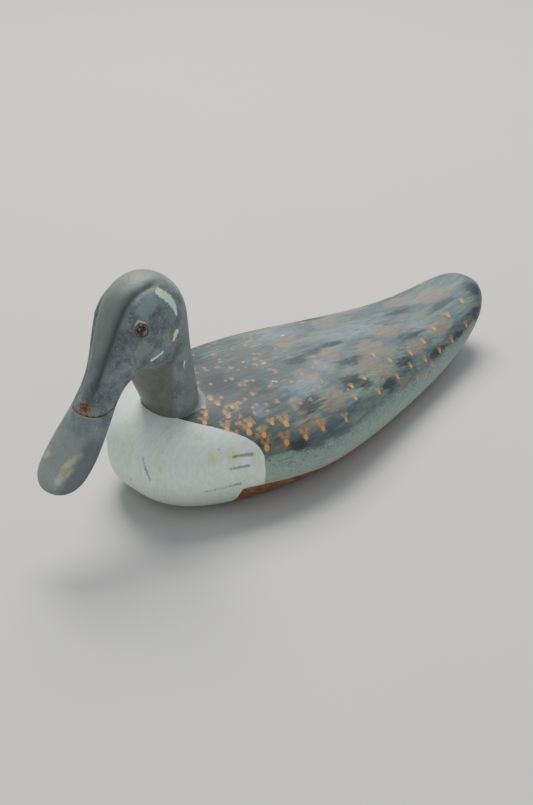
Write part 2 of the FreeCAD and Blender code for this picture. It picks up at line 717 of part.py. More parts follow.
def main():
    doc = FreeCAD.newDocument("duck_decoy")
    pieces = build(doc)
    check(doc, pieces)
    os.makedirs("parts", exist_ok=True)
    for piece in pieces:
        piece.Shape.exportStep("parts/%s.step" % piece.Label)
        print(piece.Label, len(piece.Shape.Solids), round(piece.Shape.Volume, 1))


main()
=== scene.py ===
"""Looks of a hollow, carved and painted floating duck decoy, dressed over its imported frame.

The carved forms repeat the frame's own lines and add what a knife, a brush and years of use
leave: brow grooves, wavy knife work, a cracked bill joint, putty fillets, feather strokes, chips
and bare wood. Forms are worked out in millimetres and stored in metres. The bill points to -Y and
+X is the duck's left.
"""

import logging
import math
from dataclasses import dataclass, field
from enum import Enum

import bmesh
import bpy
import numpy as np
from mathutils import Matrix, Vector


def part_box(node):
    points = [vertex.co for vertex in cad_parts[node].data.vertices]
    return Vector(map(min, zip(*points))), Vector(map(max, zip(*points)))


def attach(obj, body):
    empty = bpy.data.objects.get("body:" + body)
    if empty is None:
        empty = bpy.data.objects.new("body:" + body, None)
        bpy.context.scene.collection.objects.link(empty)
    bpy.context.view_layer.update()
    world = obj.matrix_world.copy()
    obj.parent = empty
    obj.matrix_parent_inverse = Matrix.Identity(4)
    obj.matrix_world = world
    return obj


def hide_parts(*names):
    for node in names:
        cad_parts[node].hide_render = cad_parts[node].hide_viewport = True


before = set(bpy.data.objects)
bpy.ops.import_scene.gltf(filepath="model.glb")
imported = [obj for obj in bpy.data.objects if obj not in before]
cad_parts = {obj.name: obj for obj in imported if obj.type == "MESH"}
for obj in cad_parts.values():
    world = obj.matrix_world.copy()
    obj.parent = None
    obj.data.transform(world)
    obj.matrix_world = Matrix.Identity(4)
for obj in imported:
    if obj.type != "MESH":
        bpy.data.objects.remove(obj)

LOG = logging.getLogger("decoy")
MM = 0.001
ROOT = "decoy"
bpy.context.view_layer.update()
Point = tuple[float, float, float]
Colour = tuple[int, int, int]


class Layer(Enum):
    """Names of the paint and wear layers, and of the painted shade and painted highlight layers,
    that a carved piece carries on its vertices.
    """

    WHITE = "white_side"
    FLANK = "flank_side"
    DARK = "dark_patch"
    # Painted reflection of the light on the hull's back; on the head, pale blue paint and a painted
    # highlight.
    BROWN = "brown_patch"
    PAINTED_SHEEN = "painted_sheen_layer"
    FLECK = "fleck"
    FLECK_END = "fleck_end"
    # Chips and nicks; on the eye lids, the painted highlight along the upper crest.
    CHIP_AND_HIGHLIGHT = "chip"
    SCRATCH = "scratch"
    TINT = "yellow_tint"
    SEAM = "seam_wear"
    # Brow grooves: their carved depth and the painted shade in them; on the eye lids, the dark line
    # next to the glass.
    GROOVE = "groove"
    BARE = "bare_wood"
    CROWN = "crown_side"
    # Painted shade under the head, over the throat.
    SHADE_UNDER_HEAD = "painted_throat_shade"


# ---------------------------------------------------------------- lines and forms


class SmoothLine:
    """Cubic curve through values at stations 0, 1, 2 and on, as a spline batten would lie."""

    def __init__(self, values: list) -> None:
        """Find the slope at each station.

        The inner slopes make the curvature continuous. Each end slope is that of the one cubic
        through the four values nearest that end.

        Args:
            values: One number or one tuple of numbers for each station.
        """
        rows = np.asarray(values, float).reshape(len(values), -1)
        count = len(rows)
        system = 4 * np.eye(count) + np.eye(count, k=1) + np.eye(count, k=-1)
        system[0, :2] = (1, 0)
        system[-1, -2:] = (0, 1)
        right = np.empty_like(rows)
        right[1:-1] = 3 * (rows[2:] - rows[:-2])
        ends = np.array([-11, 18, -9, 2]) / 6
        right[0] = ends @ rows[:4]
        right[-1] = -ends @ rows[:-5:-1]
        self.rows = rows
        self.slopes = np.linalg.solve(system, right)

    def at(self, station: np.ndarray) -> np.ndarray:
        """Hermite cubic between the two stations on either side.

        Args:
            station: Stations of any shape.

        Returns:
            The values, with their own axis last.
        """
        station = np.clip(station, 0, len(self.rows) - 1)
        low = np.minimum(station.astype(int), len(self.rows) - 2)
        u = (station - low)[..., None]
        rise = (3 - 2 * u) * u * u
        return ((1 - rise) * self.rows[low] + rise * self.rows[low + 1]
                + u * (1 - u) ** 2 * self.slopes[low] - u * u * (1 - u) * self.slopes[low + 1])


def soft_power(value: np.ndarray, fullness: float) -> np.ndarray:
    """Sine or cosine raised to 2 / fullness with its sign kept, which squares up an ellipse.

    Args:
        value: Sines or cosines.
        fullness: 2 for an ellipse, more for a squarer section.

    Returns:
        The raised values.
    """
    return np.sign(value) * np.abs(value) ** (2 / fullness)


def smooth_step(share: np.ndarray) -> np.ndarray:
    """Ease from 0 to 1: 3 share squared less 2 share cubed.

    Args:
        share: Values of any size, held between 0 and 1.

    Returns:
        The eased values.
    """
    share = np.clip(share, 0, 1)
    return share * share * (3 - 2 * share)


def grid_normals(points: np.ndarray, closed: bool) -> np.ndarray:
    """Unit normals of a grid: the cross product of its two directions of travel.

    Args:
        points: Grid of points, rows by columns by 3.
        closed: Whether the columns run round and meet.

    Returns:
        A unit normal for each point.
    """
    across = np.gradient(points, axis=1)
    if closed:
        across = (np.roll(points, -1, 1) - np.roll(points, 1, 1)) / 2
    normal = np.cross(np.gradient(points, axis=0), across)
    return normal / np.maximum(np.linalg.norm(normal, axis=-1, keepdims=True), 1e-9)


def turn_is_up(turn: np.ndarray) -> np.ndarray:
    """Whether an angle lies on the deck side of the widest line.

    Args:
        turn: Angles round a section.

    Returns:
        True or false for each.
    """
    return np.sin(turn) >= 0


@dataclass(frozen=True)
class HullForm:
    """Lines of the hull, as the frame's body and board have them, in mm."""

    length: float = 345
    bow: float = -140.5
    seam: float = 9
    upper_fullness: float = 2.3
    lower_fullness: float = 3.1
    half_breadth: tuple = (0, 35, 57, 72, 64.5, 50, 36.5, 23, 0)
    widest: tuple = (31, 36, 37, 33.5, 28, 23, 27.5, 36, 36)
    deck: tuple = (31, 61, 68, 66, 59, 50, 47.5, 52.5, 36)
    keel: tuple = (31, 9, -1, -1, -1, 2, 9, 25, 36)

    def section(self, station: np.ndarray) -> list[np.ndarray]:
        """Half breadth, height of it, deck and keel heights at a station from 0 to 8.

        Args:
            station: Stations of any shape.

        Returns:
            Those four, each with the shape of the stations.
        """
        lines = (self.half_breadth, self.widest, self.deck, self.keel)
        return [SmoothLine(list(line)).at(station)[..., 0] for line in lines]

    def skin(self, station: np.ndarray, turn: np.ndarray) -> np.ndarray:
        """Squared-up ellipse at each station, from the widest line up to the deck and down.

        Args:
            station: Stations from 0 at the breast to 8 at the tail.
            turn: Angle round the section, 0 at the left side and a quarter turn at the deck.

        Returns:
            Points with their own axis last.
        """
        half, middle, deck, keel = self.section(station)
        y = self.bow + self.length * (1 - np.cos(np.pi * station / 8)) / 2
        rise = soft_power(np.sin(turn), self.upper_fullness)
        drop = soft_power(np.sin(turn), self.lower_fullness)
        z = middle + np.where(turn_is_up(turn), (deck - middle) * rise, (middle - keel) * drop)
        across = np.where(turn_is_up(turn), soft_power(np.cos(turn), self.upper_fullness),
                          soft_power(np.cos(turn), self.lower_fullness))
        return np.stack([half * across, y + 0 * z, z], -1)

    def seam_turn(self, station: np.ndarray) -> np.ndarray:
        """Angle at which each section meets the board's top face, or straight down above it.

        Args:
            station: Stations of any shape.

        Returns:
            Angles from 0 down to a quarter turn below the left side.
        """
        _, middle, _, keel = self.section(station)
        share = np.clip((middle - self.seam) / np.maximum(middle - keel, 1e-6), 0, 1)
        return -np.arcsin(share ** (self.lower_fullness / 2))

    def deck_height(self, x: np.ndarray, y: np.ndarray) -> np.ndarray:
        """Height of the upper skin over a place in plan.

        Args:
            x: Distance to the left of the keel line, in mm.
            y: Distance towards the tail, in mm.

        Returns:
            Heights in mm.
        """
        station = np.arccos(1 - 2 * (y - self.bow) / self.length) * 8 / np.pi
        half, middle, deck, _ = self.section(station)
        share = np.clip(np.abs(x) / np.maximum(half, 1e-6), 0, 1) ** self.upper_fullness
        return middle + (deck - middle) * (1 - share) ** (1 / self.upper_fullness)


@dataclass(frozen=True)
class HeadForm:
    """Rails of the neck, head and bill, as the frame has them, in mm."""

    outer: tuple = ((-85, 54), (-85.5, 66), (-87, 93), (-89, 119), (-94.5, 144), (-109.5, 158),
                    (-128.5, 158), (-144.5, 143), (-159.5, 112), (-176.5, 84.5), (-193, 64),
                    (-206.5, 51.5))
    inner: tuple = ((-117.5, 55), (-118, 70), (-124, 83), (-127.5, 92.5), (-131.5, 100.5),
                    (-135.5, 105), (-137.5, 105), (-138, 100.5), (-146, 94.5), (-163.5, 78.5),
                    (-180.5, 63.5), (-194.5, 50.5))
    half_breadth: tuple = (22, 20.5, 18.5, 18.5, 22.5, 22, 20.5, 18.5, 13, 16.5, 19, 12)
    fullness: float = 2.2
    tip_start: float = 10.2
    turn: float = 5
    neck_axis: float = -103.5
    joint: Point = (0, -165, 91.5)
    joint_tilt: float = 11

    def skin(self, station: np.ndarray, turn: np.ndarray) -> np.ndarray:
        """Squared-up ellipse between the rails, turned a little about the neck's axis.

        Args:
            station: Stations from 0 in the neck seat to 11 at the bill's tip.
            turn: Angle round the section, 0 at the left and a quarter turn at the outer rail.

        Returns:
            Points with their own axis last.
        """
        outer, inner = (SmoothLine(list(rail)).at(station) for rail in (self.outer, self.inner))
        half = SmoothLine(list(self.half_breadth)).at(station)[..., 0]
        last = len(self.outer) - 1
        share = np.clip((station - self.tip_start) / (last - self.tip_start), 0, 1)
        scale = (1 - share ** 3) ** (1 / 3)
        over = (scale * soft_power(np.sin(turn), self.fullness))[..., None]
        x = half * scale * soft_power(np.cos(turn), self.fullness)
        rail = (outer + inner) / 2 + (outer - inner) / 2 * over
        angle = math.radians(self.turn) * smooth_step((station - 2) / 3)
        y = rail[..., 0] - self.neck_axis
        return np.stack([x * np.cos(angle) - y * np.sin(angle),
                         x * np.sin(angle) + y * np.cos(angle) + self.neck_axis,
                         rail[..., 1]], -1)

    def above_joint(self, points: np.ndarray) -> np.ndarray:
        """Distance above the tilted plane where the bill is glued on, in mm.

        Args:
            points: Places in mm, with their own axis last.

        Returns:
            One distance for each point, less than 0 on the bill's side.
        """
        tilt = math.radians(self.joint_tilt)
        return (points - np.array(self.joint)) @ np.array([0, -math.sin(tilt), math.cos(tilt)])

    def joint_station(self, turn: np.ndarray) -> np.ndarray:
        """Station at which the joint plane cuts the skin, for each angle.

        Args:
            turn: Angles round the section.

        Returns:
            The first station past the eye at which the skin goes under the plane.
        """
        stations = np.linspace(7.4, 10, 400)
        height = self.above_joint(self.skin(stations[:, None], turn[None, :]))
        return stations[np.argmax(height < 0, axis=0)]


HULL = HullForm()
HEAD = HeadForm()


# ---------------------------------------------------------------- marks left on the surfaces


def segment_share(points: np.ndarray, start: np.ndarray, end: np.ndarray) -> np.ndarray:
    """How far along a segment each point's nearest place is.

    Args:
        points: Places in mm, with their own axis last.
        start: Start of the segment.
        end: End of the segment.

    Returns:
        Shares from 0 to 1.
    """
    run = end - start
    return np.clip((points - start) @ run / max(run @ run, 1e-9), 0, 1)


@dataclass(frozen=True)
class Stroke:
    """A brush or knife stroke between two places, with its half width at each."""

    start: Point
    end: Point
    widths: tuple[float, float] = (1, 1)

    def cover(self, points: np.ndarray) -> np.ndarray:
        """How well the stroke covers each point.

        Args:
            points: Places in mm, with their own axis last.

        Returns:
            1 on the stroke's line, 0 at its edge and less outside.
        """
        start, end = np.array(self.start, float), np.array(self.end, float)
        share = segment_share(points, start, end)
        near = start + share[..., None] * (end - start)
        width = self.widths[0] + (self.widths[1] - self.widths[0]) * share
        return 1 - np.linalg.norm(points - near, axis=-1) / width


@dataclass(frozen=True)
class Patch:
    """A soft patch of paint round a place: how far it reaches along, across and up."""

    place: Point
    reach: Point

    def cover(self, points: np.ndarray) -> np.ndarray:
        """How well the patch covers each point.

        Args:
            points: Places in mm, with their own axis last.

        Returns:
            1 at the middle, 0 at the edge and less outside.
        """
        scaled = (points - np.array(self.place)) / np.array(self.reach)
        return 1 - np.linalg.norm(scaled, axis=-1)


def patches(*rows: tuple[float, ...]) -> list[Patch]:
    """Patches from rows of numbers.

    Args:
        *rows: Place and reach, three numbers each.

    Returns:
        The patches.
    """
    return [Patch(row[:3], row[3:]) for row in rows]


def strokes(*rows: tuple[float, ...]) -> list[Stroke]:
    """Strokes from rows of numbers.

    Args:
        *rows: Start and end, three numbers each, then the half width at both.

    Returns:
        The strokes.
    """
    return [Stroke(row[:3], row[3:6], row[6:]) for row in rows]


def cover_of(marks: list, points: np.ndarray) -> np.ndarray:
    """The strongest cover of any mark at each point.

    Args:
        marks: Strokes, patches or both.
        points: Places in mm, with their own axis last.

    Returns:
        Covers from -1 to 1.
    """
    strongest = np.full(points.shape[:-1], -1.0)
    for mark in marks:
        strongest = np.maximum(strongest, mark.cover(points))
    return strongest


def distance_to_path(points: np.ndarray, path: list[Point]) -> np.ndarray:
    """Distance from each point to a line of straight runs.

    Args:
        points: Places in mm, with their own axis last.
        path: Corners of the line, in mm.

    Returns:
        Distances in mm.
    """
    runs = [Stroke(a, b) for a, b in zip(path[:-1], path[1:])]
    return 1 - np.max([run.cover(points) for run in runs], axis=0)


def waves(points: np.ndarray, sizes: tuple[float, ...], seed: int) -> np.ndarray:
    """Gentle unevenness from -1 to 1: the mean of sine waves that run in scattered directions.

    Args:
        points: Places in mm.
        sizes: Wavelengths in mm.
        seed: Seed of the directions and phases.

    Returns:
        One value for each point.
    """
    random = np.random.default_rng(seed)
    total = np.zeros(points.shape[:-1])
    for size in np.repeat(sizes, 3):
        direction = random.normal(size=3)
        direction *= 2 * np.pi / size / np.linalg.norm(direction)
        total += np.sin(points @ direction + random.uniform(0, 2 * np.pi))
    return total / (3 * len(sizes))


# ---------------------------------------------------------------- meshes


def make_piece(name: str, points: np.ndarray, layers: dict[Layer, np.ndarray] | None = None,
               closed: bool = True, capped: bool = True) -> bpy.types.Object:
    """Turn a grid of points into a closed mesh object with its paint layers.

    Quads join each point to the next row and column. A capped grid has a fan from the middle of its
    first and last rows. Points that coincide, as at a pole, are merged.

    Args:
        name: The piece's name.
        points: Grid of points in mm, rows by columns by 3.
        layers: Values for each grid point, by layer.
        closed: Whether the columns run round and meet.
        capped: Whether the end rows are closed.

    Returns:
        The object, in metres and in the row frame.
    """
    rows, columns = points.shape[:2]
    index = np.arange(rows * columns).reshape(rows, columns)
    after = np.roll(index, -1, 1) if closed else index[:, 1:]
    before = index if closed else index[:, :-1]
    quads = np.stack([before[:-1], after[:-1], after[1:], before[1:]], -1).reshape(-1, 4).tolist()
    flat = points.reshape(-1, 3)
    if capped:
        flat = np.vstack([flat, points[0].mean(0), points[-1].mean(0)])
        for row, centre in ((0, rows * columns), (-1, rows * columns + 1)):
            fan = np.stack([before[row], after[row], np.full(len(after[row]), centre)], -1)
            quads += fan.tolist()
    mesh = bpy.data.meshes.new(name)
    mesh.from_pydata(flat * MM, [], quads)
    for layer, values in (layers or {}).items():
        stored = mesh.attributes.new(layer.value, "FLOAT", "POINT")
        padded = np.zeros(len(flat), np.float32)
        padded[:rows * columns] = values.reshape(-1)
        stored.data.foreach_set("value", padded)
    shaped = bmesh.new()
    shaped.from_mesh(mesh)
    bmesh.ops.remove_doubles(shaped, verts=shaped.verts, dist=0.00001)
    bmesh.ops.recalc_face_normals(shaped, faces=shaped.faces)
    shaped.to_mesh(mesh)
    shaped.free()
    mesh.shade_smooth()
    mesh.set_sharp_from_angle(angle=math.radians(50))
    piece = bpy.data.objects.new(name, mesh)
    bpy.context.scene.collection.objects.link(piece)
    return piece


def dress(piece: bpy.types.Object, slot: str, finish: "Finish", *replaced: str) -> None:
    """Give a piece its finish, its body and the frame nodes that it stands for.

    Args:
        piece: The piece.
        slot: Name of the record's material slot; not used.
        finish: The finish that paints it.
        replaced: Names of the frame nodes that it hides.
    """
    piece.data.materials.append(finish.material)
    if replaced:
        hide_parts(*replaced)
    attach(piece, ROOT)
    LOG.info("%s: %d faces", piece.name, len(piece.data.polygons))


# ---------------------------------------------------------------- shader writing


class Wire:
    """A shader value that adds, subtracts, multiplies and takes limits as a number does."""

    def __init__(self, finish: "Finish", socket: bpy.types.NodeSocket) -> None:
        """Keep the socket and the finish whose nodes it belongs to."""
        self.finish = finish
        self.socket = socket

    def _math(self, operation: str, first: object, second: object) -> "Wire":
        """One Math node on two values."""
        return self.finish.node("ShaderNodeMath", {"operation": operation}, {0: first, 1: second})

    def __add__(self, other: object) -> "Wire":
        """Sum."""
        return self._math("ADD", self, other)

    __radd__ = __add__

    def __sub__(self, other: object) -> "Wire":
        """Difference."""
        return self._math("SUBTRACT", self, other)

    def __rsub__(self, other: object) -> "Wire":
        """Difference, the other way."""
        return self._math("SUBTRACT", other, self)

    def __mul__(self, other: object) -> "Wire":
        """Product."""
        return self._math("MULTIPLY", self, other)

    __rmul__ = __mul__

    def most(self, other: object) -> "Wire":
        """The larger of two values.

        Args:
            other: A wire or a number.

        Returns:
            A wire with that value.
        """
        return self._math("MAXIMUM", self, other)

    def step(self, low: float, high: float) -> "Wire":
        """Ease from 0 at low to 1 at high, either way round.

        Args:
            low: Where the result is 0.
            high: Where the result is 1.

        Returns:
            A wire with the eased value.
        """
        settings = {"interpolation_type": "SMOOTHSTEP", "clamp": True}
        if low < high:
            return self.finish.node("ShaderNodeMapRange", settings, {0: self, 1: low, 2: high})
        inputs = {0: self, 1: high, 2: low, 3: 1.0, 4: 0.0}
        return self.finish.node("ShaderNodeMapRange", settings, inputs)


def linear(colour: Colour) -> tuple[float, float, float, float]:
    """A paint colour given as it looks, 0 to 255, as linear light.

    Args:
        colour: Red, green and blue.

    Returns:
        Red, green, blue and full cover.
    """
    shares = [channel / 255 for channel in colour]
    light = [s / 12.92 if s <= 0.04045 else ((s + 0.055) / 1.055) ** 2.4 for s in shares]
    return (*light, 1.0)


class Finish:
    """A material and the means to write its nodes."""

    def __init__(self, name: str, roughness: float = 0.6) -> None:
        """Start a material with one principled shader.

        Args:
            name: The material's name.
            roughness: Roughness where nothing else sets it.
        """
        self.material = bpy.data.materials.new(name)
        self.material.use_nodes = True
        self.tree = self.material.node_tree
        self.shader = next(n for n in self.tree.nodes if n.type == "BSDF_PRINCIPLED")
        self.shader.inputs["Roughness"].default_value = roughness

    def node(self, kind: str, settings: dict, inputs: dict, output: int | str = 0) -> Wire:
        """Add a node, set it up, then feed its sockets.

        Args:
            kind: The node's type.
            settings: Its own properties.
            inputs: A value, or a wire, for each socket by name or number.
            output: Name or number of the output wanted.

        Returns:
            That output.
        """
        node = self.tree.nodes.new(kind)
        for key, value in settings.items():
            setattr(node, key, value)
        for key, value in inputs.items():
            if isinstance(value, Wire):
                self.tree.links.new(value.socket, node.inputs[key])
            else:
                node.inputs[key].default_value = value
        return Wire(self, node.outputs[output])

    def feed(self, socket: str, value: object) -> None:
        """Set or link one input of the principled shader.

        Args:
            socket: The input's name.
            value: A wire, or a value to set.
        """
        if isinstance(value, Wire):
            self.tree.links.new(value.socket, self.shader.inputs[socket])
        else:
            self.shader.inputs[socket].default_value = value

    def place(self) -> Wire:
        """Object coordinates, in metres."""
        return self.node("ShaderNodeTexCoord", {}, {}, "Object")

    def axis(self, letter: str) -> Wire:
        """One of the object coordinates, in mm.

        Args:
            letter: X, Y or Z.

        Returns:
            That coordinate.
        """
        return self.node("ShaderNodeSeparateXYZ", {}, {0: self.place()}, letter) * 1000

    def layer(self, layer: Layer) -> Wire:
        """A paint layer kept on the mesh.

        Args:
            layer: Which layer.

        Returns:
            Its value.
        """
        return self.node("ShaderNodeAttribute", {"attribute_name": layer.value}, {}, "Fac")

    def mottle(self, size: Point, detail: float = 3, shift: float = 0, rough: float = 0.55) -> Wire:
        """Cloudy noise from 0 to 1.

        Args:
            size: Size of a cloud along X, Y and Z, in mm.
            detail: Octaves of finer clouds.
            shift: Moves the pattern, in clouds.
            rough: How strong the finer clouds are.

        Returns:
            The noise.
        """
        scaled = self.node("ShaderNodeMapping", {}, {
            "Vector": self.place(), "Location": (shift,) * 3,
            "Scale": tuple(1000 / side for side in size)})
        return self.node("ShaderNodeTexNoise", {}, {
            "Vector": scaled, "Scale": 1.0, "Detail": detail, "Roughness": rough})

    def mix(self, share: object, under: object, over: object, how: str = "MIX") -> Wire:
        """One colour laid over another.

        Args:
            share: How much of the upper colour shows, 0 to 1.
            under: The lower colour.
            over: The upper colour.
            how: The way in which they blend.

        Returns:
            The blend.
        """
        settings = {"data_type": "RGBA", "blend_type": how, "clamp_factor": True}
        colours = [c if isinstance(c, Wire) else linear(c) for c in (under, over)]
        return self.node("ShaderNodeMix", settings, {0: share, 6: colours[0], 7: colours[1]}, 2)

    def emboss(self, height: Wire, depth: float) -> None:
        """Raise the surface by a height times a depth.

        Args:
            height: Height from 0 to 1.
            depth: Depth in mm.
        """
        bump = self.node("ShaderNodeBump", {}, {"Height": height, "Distance": depth * MM})
        self.feed("Normal", bump)


# ---------------------------------------------------------------- finishes


@dataclass(frozen=True)
class Palette:
    """Paint and wood colours of the decoy, as they look in plain light, and the colours of its
    painted shade and painted highlights.
    """

    white: Colour = (228, 246, 238)
    white_shade: Colour = (188, 206, 186)
    yellow: Colour = (212, 216, 108)
    slate: Colour = (86, 101, 108)
    slate_dark: Colour = (42, 50, 54)
    green_grey: Colour = (108, 124, 116)
    pale_green: Colour = (132, 154, 136)
    olive: Colour = (90, 96, 84)
    taupe: Colour = (136, 124, 110)
    # Painted reflection of the light on the back.
    painted_reflection: Colour = (134, 152, 168)
    flank: Colour = (128, 148, 142)
    orange: Colour = (222, 154, 66)
    orange_dull: Colour = (186, 142, 88)
    cheek: Colour = (116, 127, 127)
    cheek_dark: Colour = (82, 92, 96)
    crown: Colour = (118, 128, 120)
    # Pale blue of the rear crown, also the painted highlight on the crown's top.
    crown_blue_and_highlight: Colour = (132, 150, 152)
    # Painted shade in the carved brow grooves.
    groove: Colour = (62, 67, 62)
    # Painted shade under the head.
    throat_shade: Colour = (92, 92, 82)
    mint: Colour = (184, 240, 206)
    cream: Colour = (228, 228, 176)
    bare: Colour = (128, 88, 54)
    bare_dark: Colour = (74, 50, 32)


PAINT = Palette()


class BodyPaint(Finish):
    """Hull paint: slate and green streaks, orange flecks, plain flanks and a white breast, with
    painted reflections on the back and painted shade low on the breast.
    """

    def __init__(self) -> None:
        """Lay the coats in the order in which they were brushed."""
        super().__init__("painted_body")
        grain = self.mottle((1.2, 9, 1.2), 4, 3)
        speckle = self.mottle((0.9, 0.9, 0.9), 3, 11)
        back = self._back(grain)
        colour = self._flank(back, grain)
        colour = self._flecks(colour)
        colour = self._breast(colour, speckle)
        colour = self._wear(colour, speckle)
        self.feed("Base Color", colour)
        self.feed("Roughness", 0.52 + 0.25 * grain)
        cracks = self.mottle((3, 14, 3), 5, 21, 0.7)
        self.emboss(grain * 0.5 + speckle * 0.35 + cracks * 0.6, 0.35)

    def _back(self, grain: Wire) -> Wire:
        """Lengthwise streaks of slate, green-grey, taupe and pale green, with painted reflections
        of the light on the upper back.

        Args:
            grain: Fine lengthwise brush marks.

        Returns:
            The colour of the back.
        """
        broad = self.mottle((15, 52, 15), 3, 0)
        green = self.mottle((9, 46, 9), 4, 5)
        taupe = self.mottle((13, 34, 13), 3, 8)
        colour = self.mix(broad.step(0.40, 0.62), PAINT.slate, PAINT.green_grey)
        colour = self.mix(green.step(0.52, 0.68) * 0.6, colour, PAINT.pale_green)
        colour = self.mix(taupe.step(0.54, 0.66) * 0.6, colour, PAINT.taupe)
        front = self.axis("Y").step(20, -70)
        colour = self.mix(front * self.mottle((12, 20, 12), 3, 14).step(0.35, 0.62) * 0.5,
                          colour, PAINT.olive)
        broken = 0.3 + self.mottle((18, 18, 18), 3, 15) * 0.8
        colour = self.mix(front * self.axis("X").step(66, 44) * broken, colour, (52, 62, 66))
        ragged = self.mottle((5, 9, 5), 4, 17)
        brown = self.layer(Layer.BROWN) * 1.2 + 0.15 + (ragged - 0.5) * 1.4
        colour = self.mix(brown.step(-0.05, 0.5) * 0.8, colour, PAINT.taupe)
        # Painted reflection: blue-grey patches where the light shines on the upper back.
        painted_reflection = (self.layer(Layer.PAINTED_SHEEN) + (ragged - 0.5) * 1.4).step(-0.1, 0.9)
        colour = self.mix(painted_reflection * 0.6, colour, PAINT.painted_reflection)
        streaky = self.mottle((3, 26, 3), 5, 24, 0.65)
        dark = self.layer(Layer.DARK) * 1.2 + (ragged - 0.5) * 1.2 + (streaky - 0.5) * 2.2
        colour = self.mix(dark.step(-0.1, 0.75) * 0.80, colour, PAINT.slate_dark)
        strands = self.mottle((2.2, 24, 2.2), 4, 27)
        colour = self.mix(strands.step(0.55, 0.72) * 0.4, colour, PAINT.pale_green)
        colour = self.mix(strands.step(0.44, 0.30) * 0.45, colour, PAINT.slate_dark)
        tone = self.mix(grain.step(0.25, 0.75), (70, 78, 78), (186, 194, 190))
        return self.mix(0.35, colour, tone, "OVERLAY")

    def _flank(self, back: Wire, grain: Wire) -> Wire:
        """Plain grey-green below the feather pattern, with fine dark specks.

        Args:
            back: The colour above it.
            grain: Fine lengthwise brush marks.

        Returns:
            The colour of back and flanks.
        """
        side = self.mix(grain.step(0.3, 0.7), PAINT.flank, (150, 170, 160))
        specks = self.mottle((1.5, 1.5, 1.5), 3, 33).step(0.56, 0.66)
        below = self.layer(Layer.FLANK) + (self.mottle((6, 9, 6), 3, 36) - 0.5) * 9
        near = below.step(16, 0)
        side = self.mix(near * (0.25 + specks * 0.55) + specks * 0.15, side, (62, 74, 76))
        return self.mix(below.step(-1.5, 2.5), back, side)

    def _flecks(self, colour: Wire) -> Wire:
        """Orange feather flecks, dull and forked above, bright and round below.

        Args:
            colour: The colour under them.

        Returns:
            The colour with flecks.
        """
        ragged = (self.mottle((1.3, 1.3, 1.3), 4, 41, 0.7) - 0.5) * 2.6
        top = (self.layer(Layer.FLECK) * 1.1 + ragged).step(0.0, 1.0)
        colour = self.mix(top * 0.6, colour, PAINT.orange_dull)
        end = (self.layer(Layer.FLECK_END) + ragged * 0.22).step(-0.08, 0.45)
        return self.mix(end * 0.95, colour, PAINT.orange)

    def _breast(self, colour: Wire, speckle: Wire) -> Wire:
        """White breast with yellowed streaks, grey scuffs, dark scratches and painted shade towards
        the bottom.

        Args:
            colour: The colour under it.
            speckle: Fine noise that frays its edge.

        Returns:
            The colour with the breast.
        """
        brushed = self.mottle((1.4, 12, 4), 4, 57)
        white = self.mix(brushed.step(0.35, 0.7) * 0.4, PAINT.white, PAINT.white_shade)
        cloud = self.mottle((16, 16, 16), 3, 59)
        white = self.mix(cloud.step(0.45, 0.7) * 0.2, white, PAINT.white_shade)
        # Painted shade: the white darkens towards the bottom of the breast.
        low = self.axis("Z").step(34, 12)
        white = self.mix(low * 0.6, white, (158, 166, 146))
        thin = self.mottle((2.6, 2.6, 9), 5, 53, 0.7)
        streaks = thin.step(0.52, 0.66) * cloud.step(0.4, 0.6) * 0.8
        stains = (self.layer(Layer.TINT) + (thin - 0.5) * 2.6).step(0.05, 0.8)
        white = self.mix(streaks.most(stains) * 0.75, white, PAINT.yellow)
        gritty = (self.mottle((1.5, 1.5, 1.5), 4, 55) - 0.5) * 1.5
        scuff = (self.layer(Layer.SCRATCH) * 1.2 + gritty).step(-0.1, 0.6)
        white = self.mix(scuff * 0.7, white, (84, 90, 82))
        inside = self.layer(Layer.WHITE) + (speckle - 0.5) * 0.9
        return self.mix(inside.step(-0.35, 0.35), colour, white)

    def _wear(self, colour: Wire, speckle: Wire) -> Wire:
        """White nicks, and a yellowed, rubbed edge along the seam with the board.

        Args:
            colour: The colour under them.
            speckle: Fine noise that frays the nicks.

        Returns:
            The worn colour.
        """
        nick = (self.layer(Layer.CHIP_AND_HIGHLIGHT) + (speckle - 0.5) * 0.6).step(0, 0.35)
        colour = self.mix(nick * 0.9, colour, (214, 224, 220))
        edge = self.layer(Layer.SEAM) + (self.mottle((3, 14, 3), 4, 61) - 0.5) * 2.4
        colour = self.mix(edge.step(1.9, 0.8) * 0.7, colour, (178, 166, 108))
        figure = self.mottle((1.5, 40, 1.5), 5, 64).step(0.35, 0.65)
        wood = self.mix(figure, (88, 62, 42), (132, 98, 66))
        return self.mix(edge.step(0.7, 0.1), colour, wood)


